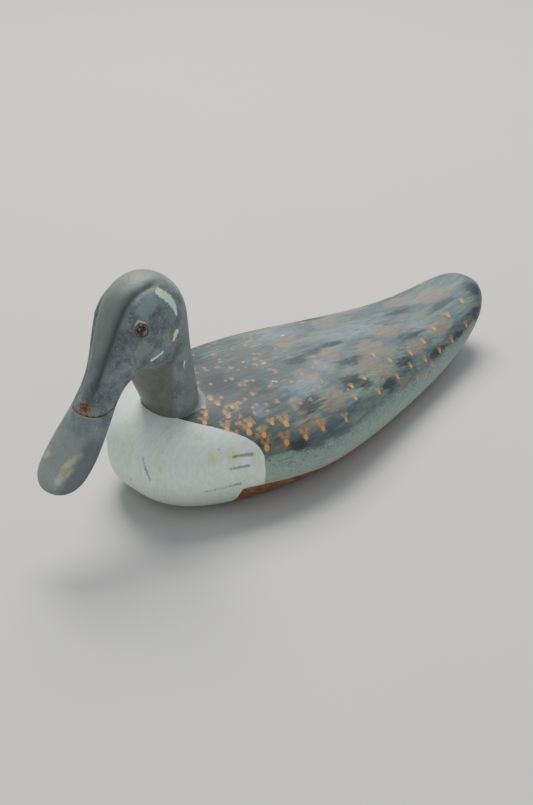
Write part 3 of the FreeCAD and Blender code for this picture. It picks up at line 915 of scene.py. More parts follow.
class HeadPaint(Finish):
    """Head and bill paint: mottled blue-grey cheeks, olive crown with pale blue paint and a painted
    highlight, dark painted shade in the brow grooves and under the head, and chips.
    """

    def __init__(self) -> None:
        """Lay the coats in the order in which they were brushed."""
        super().__init__("painted_head")
        cloud = self.mottle((9, 9, 9), 4, 2)
        grain = self.mottle((1.5, 1.5, 4), 4, 6)
        speckle = self.mottle((1.3, 1.3, 1.3), 3, 9)
        colour = self.mix(cloud.step(0.36, 0.64), PAINT.cheek_dark, PAINT.cheek)
        colour = self.mix(speckle.step(0.52, 0.7) * 0.5, colour, (146, 154, 151))
        colour = self.mix(speckle.step(0.42, 0.3) * 0.45, colour, (72, 80, 82))
        bill = self.axis("Z").step(100, 72) * self.axis("Y").step(-140, -160)
        neck = self.axis("Y").step(-112, -98) * self.axis("Z").step(140, 122)
        colour = self.mix(bill.most(neck) * 0.6, colour, (132, 142, 137))
        crown = (self.layer(Layer.CROWN) + (cloud - 0.5) * 1.2).step(-0.25, 0.45)
        colour = self.mix(crown * 0.75, colour, PAINT.crown)
        # Pale blue paint on the rear crown, and a painted highlight on the crown's top.
        blue = (self.layer(Layer.PAINTED_SHEEN) + (cloud - 0.5) * 1.2).step(0, 0.6)
        colour = self.mix(blue * 0.6, colour, PAINT.crown_blue_and_highlight)
        # Painted shade under the head, over the throat.
        throat_shade = (self.layer(Layer.SHADE_UNDER_HEAD) + (cloud - 0.5) * 0.6).step(0, 0.8)
        colour = self.mix(throat_shade * 0.7, colour, PAINT.throat_shade)
        # Painted shade in the carved brow grooves.
        groove = self.layer(Layer.GROOVE) * (0.6 + cloud * 0.7)
        colour = self.mix(groove * 0.85, colour, PAINT.groove)
        tan = self.layer(Layer.TINT) + (self.mottle((3, 3, 3), 5, 13, 0.7) - 0.5) * 2.4
        patchy = self.mottle((6, 6, 6), 2, 31).step(0.5, 0.6)
        warm = self.mix(patchy, (168, 172, 140), (176, 146, 104))
        colour = self.mix(tan.step(0, 0.9) * 0.8, colour, warm)
        left_edge = self.axis("X").step(14, 20) * self.axis("Z").step(86, 74)
        shade = left_edge * self.axis("Y").step(-160, -176)
        colour = self.mix(shade * 0.6, colour, (78, 88, 84))
        chip = self.layer(Layer.CHIP_AND_HIGHLIGHT) + (self.mottle((1.6, 1.6, 1.6), 3, 15) - 0.5) * 1.1
        primer = self.mix(self.mottle((8, 8, 8), 1, 19).step(0.4, 0.6), PAINT.mint, PAINT.cream)
        colour = self.mix(chip.step(-0.1, 0.35), colour, primer)
        bare = self.layer(Layer.BARE) + (self.mottle((1.4, 1.4, 1.4), 4, 23) - 0.5) * 1.1
        wood = self.mix(speckle.step(0.35, 0.65), PAINT.bare_dark, (150, 106, 66))
        colour = self.mix(bare.step(-0.05, 0.4), colour, wood)
        self.feed("Base Color", colour)
        self.feed("Roughness", 0.40 + 0.28 * grain)
        self.emboss(grain * 0.5 + speckle * 0.45 + self.mottle((4, 4, 9), 3, 29) * 0.5, 0.35)


class BoardWood(Finish):
    """Bottom board: weathered softwood with lengthwise grain, painted white under the breast."""

    def __init__(self) -> None:
        """Lay grain, weathering and the white front."""
        super().__init__("board_wood")
        grain = self.mottle((2.2, 60, 2.2), 5, 4)
        fine = self.mottle((0.7, 22, 0.7), 4, 7)
        colour = self.mix(grain.step(0.32, 0.7), PAINT.bare_dark, PAINT.bare)
        colour = self.mix(fine.step(0.5, 0.7) * 0.5, colour, (150, 118, 80))
        stain = self.mottle((24, 30, 24), 4, 12)
        colour = self.mix(stain.step(0.5, 0.68) * 0.5, colour, (108, 112, 100))
        front = self.axis("Y") * -1 - 95 + (self.mottle((4, 4, 4), 4, 15) - 0.5) * 5
        ragged = front - self.axis("Z").step(9, 2) * 6
        white = self.mix(grain, (168, 174, 162), (146, 150, 136))
        colour = self.mix(ragged.step(-0.5, 0.8), colour, white)
        self.feed("Base Color", colour)
        self.feed("Roughness", 0.6 + 0.25 * fine)
        self.emboss(grain * 0.6 + fine * 0.5, 0.3)


class JointFiller(Finish):
    """Dried wood filler: pale tan, crumbly and uneven."""

    def __init__(self) -> None:
        """Mix the filler's colours."""
        super().__init__("joint_filler", 0.75)
        lump = self.mottle((3, 3, 3), 4, 3)
        colour = self.mix(lump.step(0.4, 0.62), (122, 110, 88), (196, 182, 148))
        smeared = self.mottle((8, 8, 8), 2, 9).step(0.5, 0.6) * 0.6
        self.feed("Base Color", self.mix(smeared, colour, (104, 108, 100)))
        self.emboss(lump, 0.4)


class Metal(Enum):
    """Metals of the small fittings: base colour, tarnish colour and roughness."""

    ZINC = ((158, 160, 160), (104, 98, 90), 0.42)
    BRASS = ((182, 150, 92), (96, 84, 52), 0.36)
    LEAD = ((120, 122, 124), (150, 150, 146), 0.58)


class MetalFinish(Finish):
    """A metal with patches of tarnish that are duller and less metallic."""

    def __init__(self, name: str, metal: Metal) -> None:
        """Mix bright metal and tarnish.

        Args:
            name: The material's name.
            metal: Which metal it is.
        """
        clean, tarnish, roughness = metal.value
        super().__init__(name)
        patch = self.mottle((3, 3, 3), 5, 4).step(0.42, 0.66)
        self.feed("Base Color", self.mix(patch, clean, tarnish))
        self.feed("Metallic", 0.95 - 0.45 * patch)
        self.feed("Roughness", roughness + 0.3 * patch)
        self.emboss(self.mottle((0.8, 0.8, 0.8), 3, 8), 0.08)


class DowelWood(Finish):
    """Turned hardwood dowel with grain along it."""

    def __init__(self) -> None:
        """Lay the grain."""
        super().__init__("dowel_wood", 0.6)
        grain = self.mottle((0.8, 0.8, 9), 4, 2)
        self.feed("Base Color", self.mix(grain.step(0.35, 0.7), (142, 108, 70), (196, 164, 118)))
        self.emboss(grain, 0.15)


class EyeFinish(Finish):
    """The painted backs of the glass eyes."""

    def __init__(self, name: str, dark: Colour, light: Colour) -> None:
        """Fleck one enamel with another.

        Args:
            name: The material's name.
            dark: The darker enamel.
            light: The lighter enamel.
        """
        super().__init__(name, 0.25)
        self.feed("Base Color", self.mix(self.mottle((2.5, 2.5, 2.5), 2, 5), dark, light))
        self.feed("Coat Weight", 0.6)


class EyeGlass(Finish):
    """Clear glass of the eyes."""

    def __init__(self) -> None:
        """Set the glass."""
        super().__init__("eye_glass")
        self.feed("Base Color", (0.96, 0.95, 0.92, 1.0))
        self.feed("Transmission Weight", 1.0)
        self.feed("IOR", 1.5)
        self.feed("Roughness", 0.02 + 0.03 * self.mottle((2, 2, 2), 3, 3))


class EyeRim(Finish):
    """Lid of putty round an eye: painted like the cheek, with a painted highlight along its raised
    upper edge.
    """

    def __init__(self) -> None:
        """Lay the paint, the painted highlight on the upper edge and the dark line next to the
        glass.
        """
        super().__init__("eye_putty", 0.5)
        speckle = self.mottle((1.3, 1.3, 1.3), 3, 9)
        colour = self.mix(speckle, PAINT.cheek_dark, (112, 120, 120))
        # Painted highlight along the lid's upper crest.
        colour = self.mix(self.layer(Layer.CHIP_AND_HIGHLIGHT).step(0.1, 0.8) * 0.85, colour, (196, 196, 176))
        colour = self.mix(self.layer(Layer.GROOVE), colour, (40, 28, 18))
        self.feed("Base Color", colour)
        self.emboss(speckle, 0.1)


# ---------------------------------------------------------------- the carved pieces


@dataclass
class Hull:
    """The hull's upper block with its feather paint."""

    rows: int = 400
    columns: int = 228
    knife_work: float = 0.22
    scratch_depth: float = 0.35
    nick_depth: float = 0.25
    loose_flecks: int = 120
    white_edge: float = -79
    white_sweep: float = 23.5
    bare_front: float = 20.5
    dark: list[Patch] = field(default_factory=lambda: patches(
        (68, -56, 42, 9, 9, 6), (67, -62, 34, 4, 4, 4), (57, -77, 51, 8, 5, 6),
        (55, -33, 56, 9, 13, 5), (50, 10, 54, 7, 14, 6), (56, 19, 49, 6, 11, 5),
        (35, 29, 56, 5, 17, 4), (47, 70, 43, 6, 15, 5), (44, 113, 33, 6, 18, 5),
        (39, 144, 31, 6, 14, 5), (30, 177, 35, 9, 11, 7), (17, 187, 49, 9, 9, 6),
        (14, 10, 61, 5, 20, 5), (12, 32, 59, 4, 16, 5), (17, -7, 63, 6, 13, 5),
        (58, 41, 41, 5, 14, 5), (8, -70, 66, 16, 16, 9), (26, -50, 63, 11, 10, 6),
        (-30, -60, 62, 16, 16, 8), (-52, -30, 56, 10, 16, 6), (-50, 20, 52, 8, 20, 6),
        (-36, 60, 50, 7, 18, 6), (-44, 110, 34, 7, 18, 6), (-30, 150, 42, 7, 18, 6),
        (-60, -72, 46, 9, 9, 8), (0, 120, 48, 5, 18, 5), (14, 152, 46, 5, 20, 5),
        (28, 96, 44, 5, 22, 5)))
    brown: list[Patch] = field(default_factory=lambda: patches(
        (65, -43, 50, 8, 12, 5), (59, -14, 53, 9, 12, 6), (34, -14, 61, 9, 9, 5),
        (53, -40, 58, 7, 7, 5), (17, 85, 51, 8, 16, 5), (27, 56, 53, 8, 13, 5),
        (-13, 136, 46, 8, 16, 5), (0, 156, 48, 8, 14, 5), (40, 40, 52, 8, 14, 5),
        (50, 44, 46, 7, 12, 5), (38, 92, 42, 7, 14, 5), (30, 130, 41, 7, 16, 5),
        (22, 20, 60, 9, 10, 5), (-10, 10, 61, 9, 14, 5), (44, 124, 34, 5, 12, 4),
        (-57, -20, 54, 8, 12, 6), (-40, 40, 52, 8, 16, 6), (-30, 100, 46, 8, 16, 6),
        (-20, 60, 55, 9, 14, 5), (-62, -48, 50, 8, 12, 6)))
    # Painted reflections of the light on the upper back.
    painted_reflection: list[Patch] = field(default_factory=lambda: patches(
        (4, 62, 55, 14, 42, 10), (42, -24, 60, 12, 22, 8), (30, 4, 60, 10, 14, 6),
        (24, 110, 45, 8, 22, 6), (-24, 20, 60, 12, 26, 8), (40, -66, 59, 10, 8, 6)))
    nicks: list[Stroke] = field(default_factory=lambda: strokes(
        (2, -52, 66, 3, -50, 66, 0.9, 0.9), (-3, -36, 65.5, -2, -33, 65.5, 1.2, 1),
        (6, -29, 65, 8, -24, 65, 1.1, 0.8), (27, -39, 64, 29, -36, 64, 1.3, 0.9),
        (14, -46, 65.5, 17, -42, 65, 0.9, 0.7), (-19, 16, 60, -19, 18, 60, 1.1, 0.9),
        (39, -46, 62, 40, -43, 62, 0.9, 0.7), (-34, -10, 60, -33, -8, 60, 0.9, 0.7)))
    tints: list[Patch] = field(default_factory=lambda: patches(
        (46, -108, 46, 5, 5, 8), (34, -108, 56, 6, 6, 6), (52, -97, 47, 6, 5, 8),
        (40, -112, 34, 7, 7, 9), (56, -84, 40, 6, 5, 9), (24, -122, 50, 7, 7, 9),
        (8, -132, 40, 9, 7, 9), (-40, -108, 44, 8, 8, 9)))
    scuffs: list[Stroke] = field(default_factory=lambda: strokes(
        (14, -136, 47, 17, -137, 40, 1.3, 1.6), (17, -137, 40, 20, -137, 33, 1.6, 0.9),
        (30, -119, 55, 31, -118, 53, 1.6, 0.8), (29, -115, 57.5, 31, -113, 57, 1.2, 0.6),
        (31, -104, 60, 34, -101, 59.5, 0.9, 0.7), (34, -101, 59.5, 35, -104, 58, 0.8, 0.6),
        (40, -101, 56.5, 42, -100, 54, 1.4, 1), (42, -100, 56, 44, -101, 53, 0.9, 0.7),
        (46, -103, 51, 48, -103, 49, 1.5, 0.8), (52, -97, 46, 57, -86, 45, 1.2, 1.7),
        (52, -100, 38.5, 58, -89, 38, 1.1, 1.6), (44, -114, 25, 54, -94, 26, 1.1, 1.8),
        (3, -140, 29, 5, -140, 27, 1.4, 0.8), (38, -118, 30, 44, -112, 31, 0.8, 1.1)))
    tail_flecks: tuple[Point, ...] = (
        (62, 3, 47), (61, 28, 42), (54, 8, 52), (52, 23, 51), (55, 54, 40), (50, 75, 38),
        (48, 94, 35), (44, 114, 33), (40, 134, 32), (35, 158, 34), (36, 51, 52), (55, 76, 29),
        (58, 90, 26), (44, 60, 47), (42, 84, 43), (36, 104, 41), (30, 124, 41), (26, 146, 42),
        (20, 168, 45), (50, 100, 30))
    feather_flecks: tuple[tuple[float, float, float, float], ...] = (
        (60, -77, 46, 9), (64, -64, 45, 8), (68, -50, 44, 6), (69, -35, 44, 6), (70, -14, 42, 5),
        (56, -74, 52, 6), (58, -58, 54, 7), (50, -82, 54, 8), (42, -92, 58, 6), (47, -78, 57, 5),
        (21, -92, 64, 3.5), (27, -96, 62, 3.5), (30, -100, 61, 5), (36, -86, 61, 3.5),
        (18, -84, 65, 3), (24, -84, 64, 3), (32, -78, 63, 3), (55, -66, 56, 4), (47, -90, 54, 4))

    def build(self, finish: Finish) -> bpy.types.Object:
        """Make the painted hull over the frame's body block.

        Args:
            finish: The body paint.

        Returns:
            The piece.
        """
        share = np.linspace(0, 1, self.rows)
        station = 8 * (0.5 * share + 0.5 * np.arccos(1 - 2 * share) / np.pi)
        low = HULL.seam_turn(station)[:, None]
        turn = low + (np.pi - 2 * low) * np.linspace(0, 1, self.columns)[None, :]
        points = HULL.skin(station[:, None] + 0 * turn, turn)
        normals = grid_normals(points, False)
        layers = self._paint_layers(points, normals)
        fade = smooth_step((points[..., 2] - HULL.seam) / 6)
        relief = self.knife_work * waves(points, (16, 27, 60), 4)
        relief += 0.10 * waves(points * (1, 0.25, 1), (5, 8), 6)
        scratch, chip = (np.clip(layers[layer], 0, 1) for layer in (Layer.SCRATCH, Layer.CHIP_AND_HIGHLIGHT))
        relief -= self.scratch_depth * scratch + self.nick_depth * chip
        points = points + normals * (relief * fade)[..., None]
        piece = make_piece("carved_hull", points, layers, capped=False)
        dress(piece, "painted_body", finish, "body_block")
        return piece

    def _paint_layers(self, points: np.ndarray, normals: np.ndarray) -> dict[Layer, np.ndarray]:
        """Every paint layer of the hull.

        The white breast ends at a level line that sweeps forward as a power of the height. The
        feather pattern ends above a flank line that sinks from the shoulder to the tail.

        Args:
            points: Grid of points in mm.
            normals: Their unit normals.

        Returns:
            Values for each point, by layer.
        """
        y, z = points[..., 1], points[..., 2]
        edge = self.white_edge - self.white_sweep * (np.clip(z - 36, 0, None) / 26.5) ** 3.3
        flank = 41 - 5 * smooth_step((y + 76) / 40) - 5 * smooth_step((y - 10) / 90)
        ends, tops = self._fleck_strokes(points, normals)
        return {
            Layer.WHITE: edge - y + 0.5 * waves(points, (9, 23), 3),
            Layer.FLANK: flank - z + 1.2 * waves(points, (14, 37), 8),
            Layer.DARK: cover_of(self.dark, points),
            Layer.BROWN: cover_of(self.brown, points),
            Layer.PAINTED_SHEEN: cover_of(self.painted_reflection, points),
            Layer.FLECK: cover_of(tops, points),
            Layer.FLECK_END: cover_of(ends, points),
            Layer.CHIP_AND_HIGHLIGHT: cover_of(self.nicks, points),
            Layer.SCRATCH: cover_of(self.scuffs, points),
            Layer.TINT: cover_of(self.tints, points),
            Layer.SEAM: z - self._bare_height(y),
        }

    def _bare_height(self, y: np.ndarray) -> np.ndarray:
        """Height up to which the lower edge is rubbed bare, highest just behind the breast.

        Args:
            y: Distance towards the tail, in mm.

        Returns:
            Heights in mm.
        """
        height = self.bare_front - 5 * smooth_step((y + 90) / 70) - 7 * smooth_step((y + 20) / 110)
        return height * smooth_step((y + 97) / 5) - 4 * smooth_step((-92 - y) / 5)

    def _fleck_strokes(self, points: np.ndarray, normals: np.ndarray) -> tuple[list, list]:
        """Strokes of all feather flecks: round lower ends, and two forks rising from each.

        A fleck starts at the skin's nearest point and its forks run up the slope, spread to each
        side. Small loose flecks on the front of the back are turned at random.

        Args:
            points: Grid of points in mm.
            normals: Their unit normals.

        Returns:
            The bright ends and the dull forks.
        """
        random = np.random.default_rng(12)
        faint = 0.62
        places = [(np.array(f[:3]), f[3], min(max(f[3] / 7, faint), 1.0))
                  for f in self.feather_flecks]
        places += [(np.array(f), random.uniform(2.2, 3.8), faint) for f in self.tail_flecks]
        mirrored = [(place * (-1, 1, 1) + random.normal(0, 2.5, 3), size, bold)
                    for place, size, bold in places]
        small = []
        for _ in range(self.loose_flecks):
            spread = random.uniform(0, 1) ** 1.5
            plan = np.array([random.uniform(-56, 56), -88 + 96 * spread])
            height = float(HULL.deck_height(plan[0], plan[1]))
            size, bold = random.uniform(1.0, 3.4), random.uniform(0.2, 0.5)
            small.append((np.array([*plan, height]), size, bold))
        flat, flat_normals = (grid[::2, ::2].reshape(-1, 3) for grid in (points, normals))
        ends, tops = [], []
        for place, size, bold in places + mirrored + small:
            nearest = int(np.argmin(np.sum((flat - place) ** 2, -1)))
            start, normal = flat[nearest], flat_normals[nearest]
            large = bold >= faint
            up = np.array([-0.2 * np.sign(place[0]), 0.1, 1.0 if large else 0.65])
            up = up - normal * (up @ normal)
            up = up / max(np.linalg.norm(up), 1e-6)
            along = np.cross(normal, up)
            if not large:
                angle = random.normal(1.2, 0.5)
                up, along = (up * math.cos(angle) + along * math.sin(angle),
                             along * math.cos(angle) - up * math.sin(angle))
            width = 0.6 + 1.45 * bold
            if large:
                ends.append(Stroke(tuple(start), tuple(start + up * size * 0.12), (width, width)))
            for side in (-1, 1):
                fork = start + up * size * 0.85 + along * side * size * 0.36
                root = start + up * size * 0.25
                tops.append(Stroke(tuple(root), tuple(fork), (1.1 * width, 1.35 * width)))
        return ends, tops


@dataclass
class Head:
    """Neck and head block, carved with brow grooves and full cheeks."""

    rows: int = 270
    columns: int = 190
    socket_depth: float = 3.6
    socket_radius: float = 4.9
    cheek_rise: float = 0.7
    knife_work: float = 0.22
    split_depth: float = 0.9
    chip_depth: float = 0.2
    groove_depth: float = 1.6
    groove_width: float = 2.6
    groove: tuple[Point, ...] = (
        (8, -102, 153), (13, -120, 155), (12.5, -132, 153), (11.5, -139, 148), (11, -144, 141),
        (10.5, -149, 131), (9.5, -155, 120), (9, -160, 110), (9, -166, 100), (10, -172, 90))
    chips: list[Stroke] = field(default_factory=lambda: strokes(
        (17, -117, 152, 19.5, -112, 147, 2.8, 3.0), (19.5, -112, 147, 21, -110, 142, 3.0, 2.3),
        (21, -110, 142, 22, -110, 137, 1.9, 0.9), (23.3, -112, 127, 23.5, -115, 123, 1.9, 0.9),
        (23.5, -111.5, 127.5, 23.5, -113.5, 126.5, 1.0, 1.2),
        (22.7, -122.4, 118, 20, -128.5, 113.5, 0.7, 1.1), (18, -102, 101, 19, -104, 94, 1.0, 0.9)))
    # Pale blue paint at the rear of the crown, and a painted highlight on its top.
    crown_blue_and_highlight: list[Patch] = field(default_factory=lambda: patches(
        (6, -100, 150, 13, 12, 12), (11, -126, 156, 4, 5, 4), (19, -128, 148, 6, 10, 8)))
    cheek: list[Patch] = field(default_factory=lambda: patches(
        (23, -120, 124, 22, 24, 22), (-23, -122, 124, 22, 24, 22)))
    bill_tan: list[Stroke | Patch] = field(default_factory=lambda: strokes(
        (18, -184, 72, 12, -190, 66, 3.4, 3.2), (12, -190, 66, 13, -198, 58, 2.6, 3.4),
        (18, -190, 65, 14, -196, 59, 2.6, 2.4)
    ) + patches((-6, -190, 66, 4, 6, 5)))

    def grid(self, first: float, bill: bool, rows: int, columns: int) -> np.ndarray:
        """Points of the head above the bill joint, or of the bill below it.

        Args:
            first: The station where the head starts.
            bill: Whether the grid runs from the joint to the tip instead.
            rows: Rows along the piece.
            columns: Columns round it.

        Returns:
            The grid of points in mm.
        """
        turn = np.linspace(0, 2 * np.pi, columns, endpoint=False)
        joint = HEAD.joint_station(turn)
        share = np.linspace(0, 1, rows)[:, None]
        last = len(HEAD.outer) - 1
        station = first + (joint - first) * share
        if bill:
            station = joint + (last - joint) * share ** 0.92
        return HEAD.skin(station, turn[None, :] + 0 * station)

    def build(self, finish: Finish) -> bpy.types.Object:
        """Make the head block over the frame's own.

        Args:
            finish: The head paint.

        Returns:
            The piece.
        """
        points = self.grid(0.2, False, self.rows, self.columns)
        layers = head_layers(self, points)
        normals = grid_normals(points, True) * outward(points)[..., None]
        points = points + normals * head_relief(self, points, layers)[..., None]
        piece = make_piece("carved_head", points, layers)
        dress(piece, "painted_head", finish, "head_block")
        return piece


def outward(points: np.ndarray) -> np.ndarray:
    """1 or -1, whichever makes a closed grid's normals point away from each row's middle.

    Args:
        points: Grid of points in mm.

    Returns:
        That sign, for each point.
    """
    normals = grid_normals(points, True)
    away = points - points.mean(axis=1, keepdims=True)
    return np.full(points.shape[:-1], np.sign(np.sum(normals * away)))


def head_layers(head: Head, points: np.ndarray) -> dict[Layer, np.ndarray]:
    """Paint layers that the head and the bill share.

    Args:
        head: The head's sizes and marks.
        points: Grid of points in mm.

    Returns:
        Values for each point, by layer.
    """
    x, y, z = np.moveaxis(points, -1, 0)
    axis = 0.09 * np.clip(-y - 104, 0, None)
    mirrored = [(0.16 * (-gy - 104) - gx - 4, gy, gz) for gx, gy, gz in head.groove]
    near, far = (np.exp(-(distance_to_path(points, path) / head.groove_width) ** 2)
                 for path in (list(head.groove), mirrored))
    fade = smooth_step((-y - 104) / 18) * smooth_step((z - 84) / 26)
    # The groove mask sets both the carved depth and the painted shade in it.
    groove = np.maximum(near, 0.6 * far) * fade
    crown = 1 - np.abs(x - axis + 2) / 13 + 0.02 * (z - 140)
    behind, ahead = smooth_step((-y - 104) / 12), smooth_step((y + 150) / 8)
    # Painted shade under the head, between jaw and neck.
    throat_shade = smooth_step((112 - z) / 10) * behind * ahead * 2 - 1
    ridge = Patch((7, -170, 93.5), (5.5, 3.6, 3.6)).cover(points)
    crack = 0.75 - np.abs(HEAD.above_joint(points) - 0.3 * waves(points, (5, 9), 2)) / 0.7
    return {
        Layer.GROOVE: groove,
        Layer.CROWN: crown * smooth_step((z - 70) / 30),
        Layer.PAINTED_SHEEN: cover_of(head.crown_blue_and_highlight, points),
        Layer.SHADE_UNDER_HEAD: throat_shade,
        Layer.CHIP_AND_HIGHLIGHT: cover_of(head.chips, points),
        Layer.TINT: cover_of(head.bill_tan, points),
        Layer.BARE: np.maximum(ridge, np.where(y < -140, crack, -1)),
    }


def eye_distance(points: np.ndarray) -> np.ndarray:
    """Distance from each point to the middle of the nearer eye.

    Args:
        points: Places in mm, with their own axis last.

    Returns:
        Distances in mm.
    """
    boxes = [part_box(f"{side}_eye_glass") for side in ("left", "right")]
    middles = [(np.array(low) + np.array(high)) / 2 / MM for low, high in boxes]
    return np.min([np.linalg.norm(points - middle, axis=-1) for middle in middles], axis=0)


def head_relief(head: Head, points: np.ndarray, layers: dict[Layer, np.ndarray]) -> np.ndarray:
    """How far the knife leaves the surface above or below the plain form.

    Grooves, chips and the split at the joint are cut in, cheeks stand out, and each eye has a
    socket that is deeper than its enamel.

    Args:
        head: The head's sizes and marks.
        points: Grid of points in mm.
        layers: Paint layers at those points.

    Returns:
        Distances in mm along the outward normal.
    """
    eye = eye_distance(points)
    calm = smooth_step((eye - 4.5) / 6)
    relief = -head.groove_depth * layers[Layer.GROOVE]
    relief += head.cheek_rise * smooth_step(np.clip(cover_of(head.cheek, points), 0, 1))
    relief += head.knife_work * waves(points, (11, 19, 34), 9)
    relief -= head.split_depth * smooth_step(np.clip(layers[Layer.BARE], 0, 1))
    relief -= head.chip_depth * np.clip(layers[Layer.CHIP_AND_HIGHLIGHT], 0, 1)
    return relief * calm - head.socket_depth * smooth_step((head.socket_radius - eye) / 0.9)


@dataclass
class Bill:
    """Bill, carved apart and glued on with a dowel."""

    rows: int = 130
    columns: int = 190

    def build(self, head: Head, finish: Finish) -> bpy.types.Object:
        """Make the bill over the frame's own.

        Args:
            head: The head whose marks and form it carries on.
            finish: The head paint.

        Returns:
            The piece.
        """
        points = head.grid(0, True, self.rows, self.columns)
        layers = head_layers(head, points)
        relief = head_relief(head, points, layers)
        tip = smooth_step((points[..., 1] + 206) / 6)
        normals = grid_normals(points, True) * outward(points)[..., None]
        points = points + normals * (relief * tip)[..., None]
        piece = make_piece("carved_bill", points, layers)
        dress(piece, "painted_head", finish, "bill")
        return piece


@dataclass
class JointBead:
    """Cracked line of filler squeezed out round the bill joint."""

    points_round: int = 220
    thickness: float = 0.4

    def build(self, head: Head, finish: Finish) -> bpy.types.Object:
        """Carry a small uneven round along the joint.

        The centre follows the joint's line on the skin, sunk by a little over half its radius.
        The radius swells and dwindles with gentle waves.

        Args:
            head: The head whose joint it fills.
            finish: The filler.

        Returns:
            The piece.
        """
        turn = np.linspace(0, 2 * np.pi, self.points_round, endpoint=False)
        line = HEAD.skin(HEAD.joint_station(turn), turn)
        tilt = math.radians(HEAD.joint_tilt)
        plane = np.array([0, -math.sin(tilt), math.cos(tilt)])
        along = np.roll(line, -1, 0) - np.roll(line, 1, 0)
        out = np.cross(along, plane)
        out /= np.linalg.norm(out, axis=-1, keepdims=True)
        out *= np.sign(np.sum(out * (line - line.mean(0)), -1, keepdims=True))
        radius = self.thickness * (1 + 0.5 * waves(line, (4, 9), 5))
        wander = 0.35 * waves(line, (6, 13), 7)
        angle = np.linspace(0, 2 * np.pi, 10, endpoint=False)
        ring = out[:, None, :] * np.cos(angle)[:, None] + plane * np.sin(angle)[:, None]
        relief = head_relief(head, line, head_layers(head, line))
        centre = line + out * (relief - 0.62 * radius)[:, None] + plane * wander[:, None]
        points = centre[:, None, :] + ring * radius[:, None, None]
        points = np.concatenate([points, points[:1]], 0)
        piece = make_piece("bill_joint_bead", points, capped=False)
        dress(piece, "joint_filler", finish, "bill_joint_filler")
        return piece


@dataclass
class NeckFillet:
    """Painted putty fillet between neck and back: sharp in front, softly swept up behind."""

    columns: int = 240
    rows: int = 24
    rear_reach: float = 5.5
    front_reach: float = 0.7

    def build(self, head: Head, finish: Finish) -> bpy.types.Object:
        """Sweep a concave fillet round the neck.

        Each profile is a quadratic curve from the neck's skin down to the hull's, with its middle
        control point where the two skins meet. Its reach grows from front to rear.

        Args:
            head: The head whose neck it meets.
            finish: The head paint.

        Returns:
            The piece.
        """
        turn = np.linspace(0, 2 * np.pi, self.columns, endpoint=False)
        stations = np.linspace(0, 2.2, 300)
        skin = HEAD.skin(stations[:, None], turn[None, :] + 0 * stations[:, None])
        above = skin[..., 2] - HULL.deck_height(skin[..., 0], skin[..., 1])
        rear = smooth_step((np.sin(turn) + 0.1) / 1.0)
        reach = self.front_reach + (self.rear_reach - self.front_reach) * rear
        columns = np.arange(self.columns)
        corner = skin[np.argmax(above > 0, axis=0), columns]
        top = skin[np.argmax(above > reach[None, :] * 1.15, axis=0), columns]
        out = (corner - corner.mean(0)) * (1, 1, 0)
        out /= np.linalg.norm(out, axis=-1, keepdims=True)
        foot = corner + out * reach[:, None]
        foot[:, 2] = HULL.deck_height(foot[:, 0], foot[:, 1]) - 0.15
        top = top - out * 0.25
        inside = corner - out * 3
        u = np.linspace(0, 1, self.rows)[:, None, None]
        sweep = (1 - u) ** 2 * top + 2 * u * (1 - u) * corner + u * u * foot
        under = np.stack([foot - (0, 0, 2), inside - (0, 0, 2), top - out * 2])
        points = np.concatenate([sweep, under, sweep[:1]], 0)
        layers = head_layers(head, points)
        # The fillet's rear takes the crown's pale blue paint and painted highlight.
        layers[Layer.PAINTED_SHEEN] = np.where(points[..., 1] > -100, 0.35, -1.0)
        layers[Layer.BARE] = np.where(points[..., 1] < -118, 0.25, -1.0)
        piece = make_piece("neck_fillet", points, layers, capped=False)
        dress(piece, "painted_head", finish, "neck_joint_filler")
        return piece


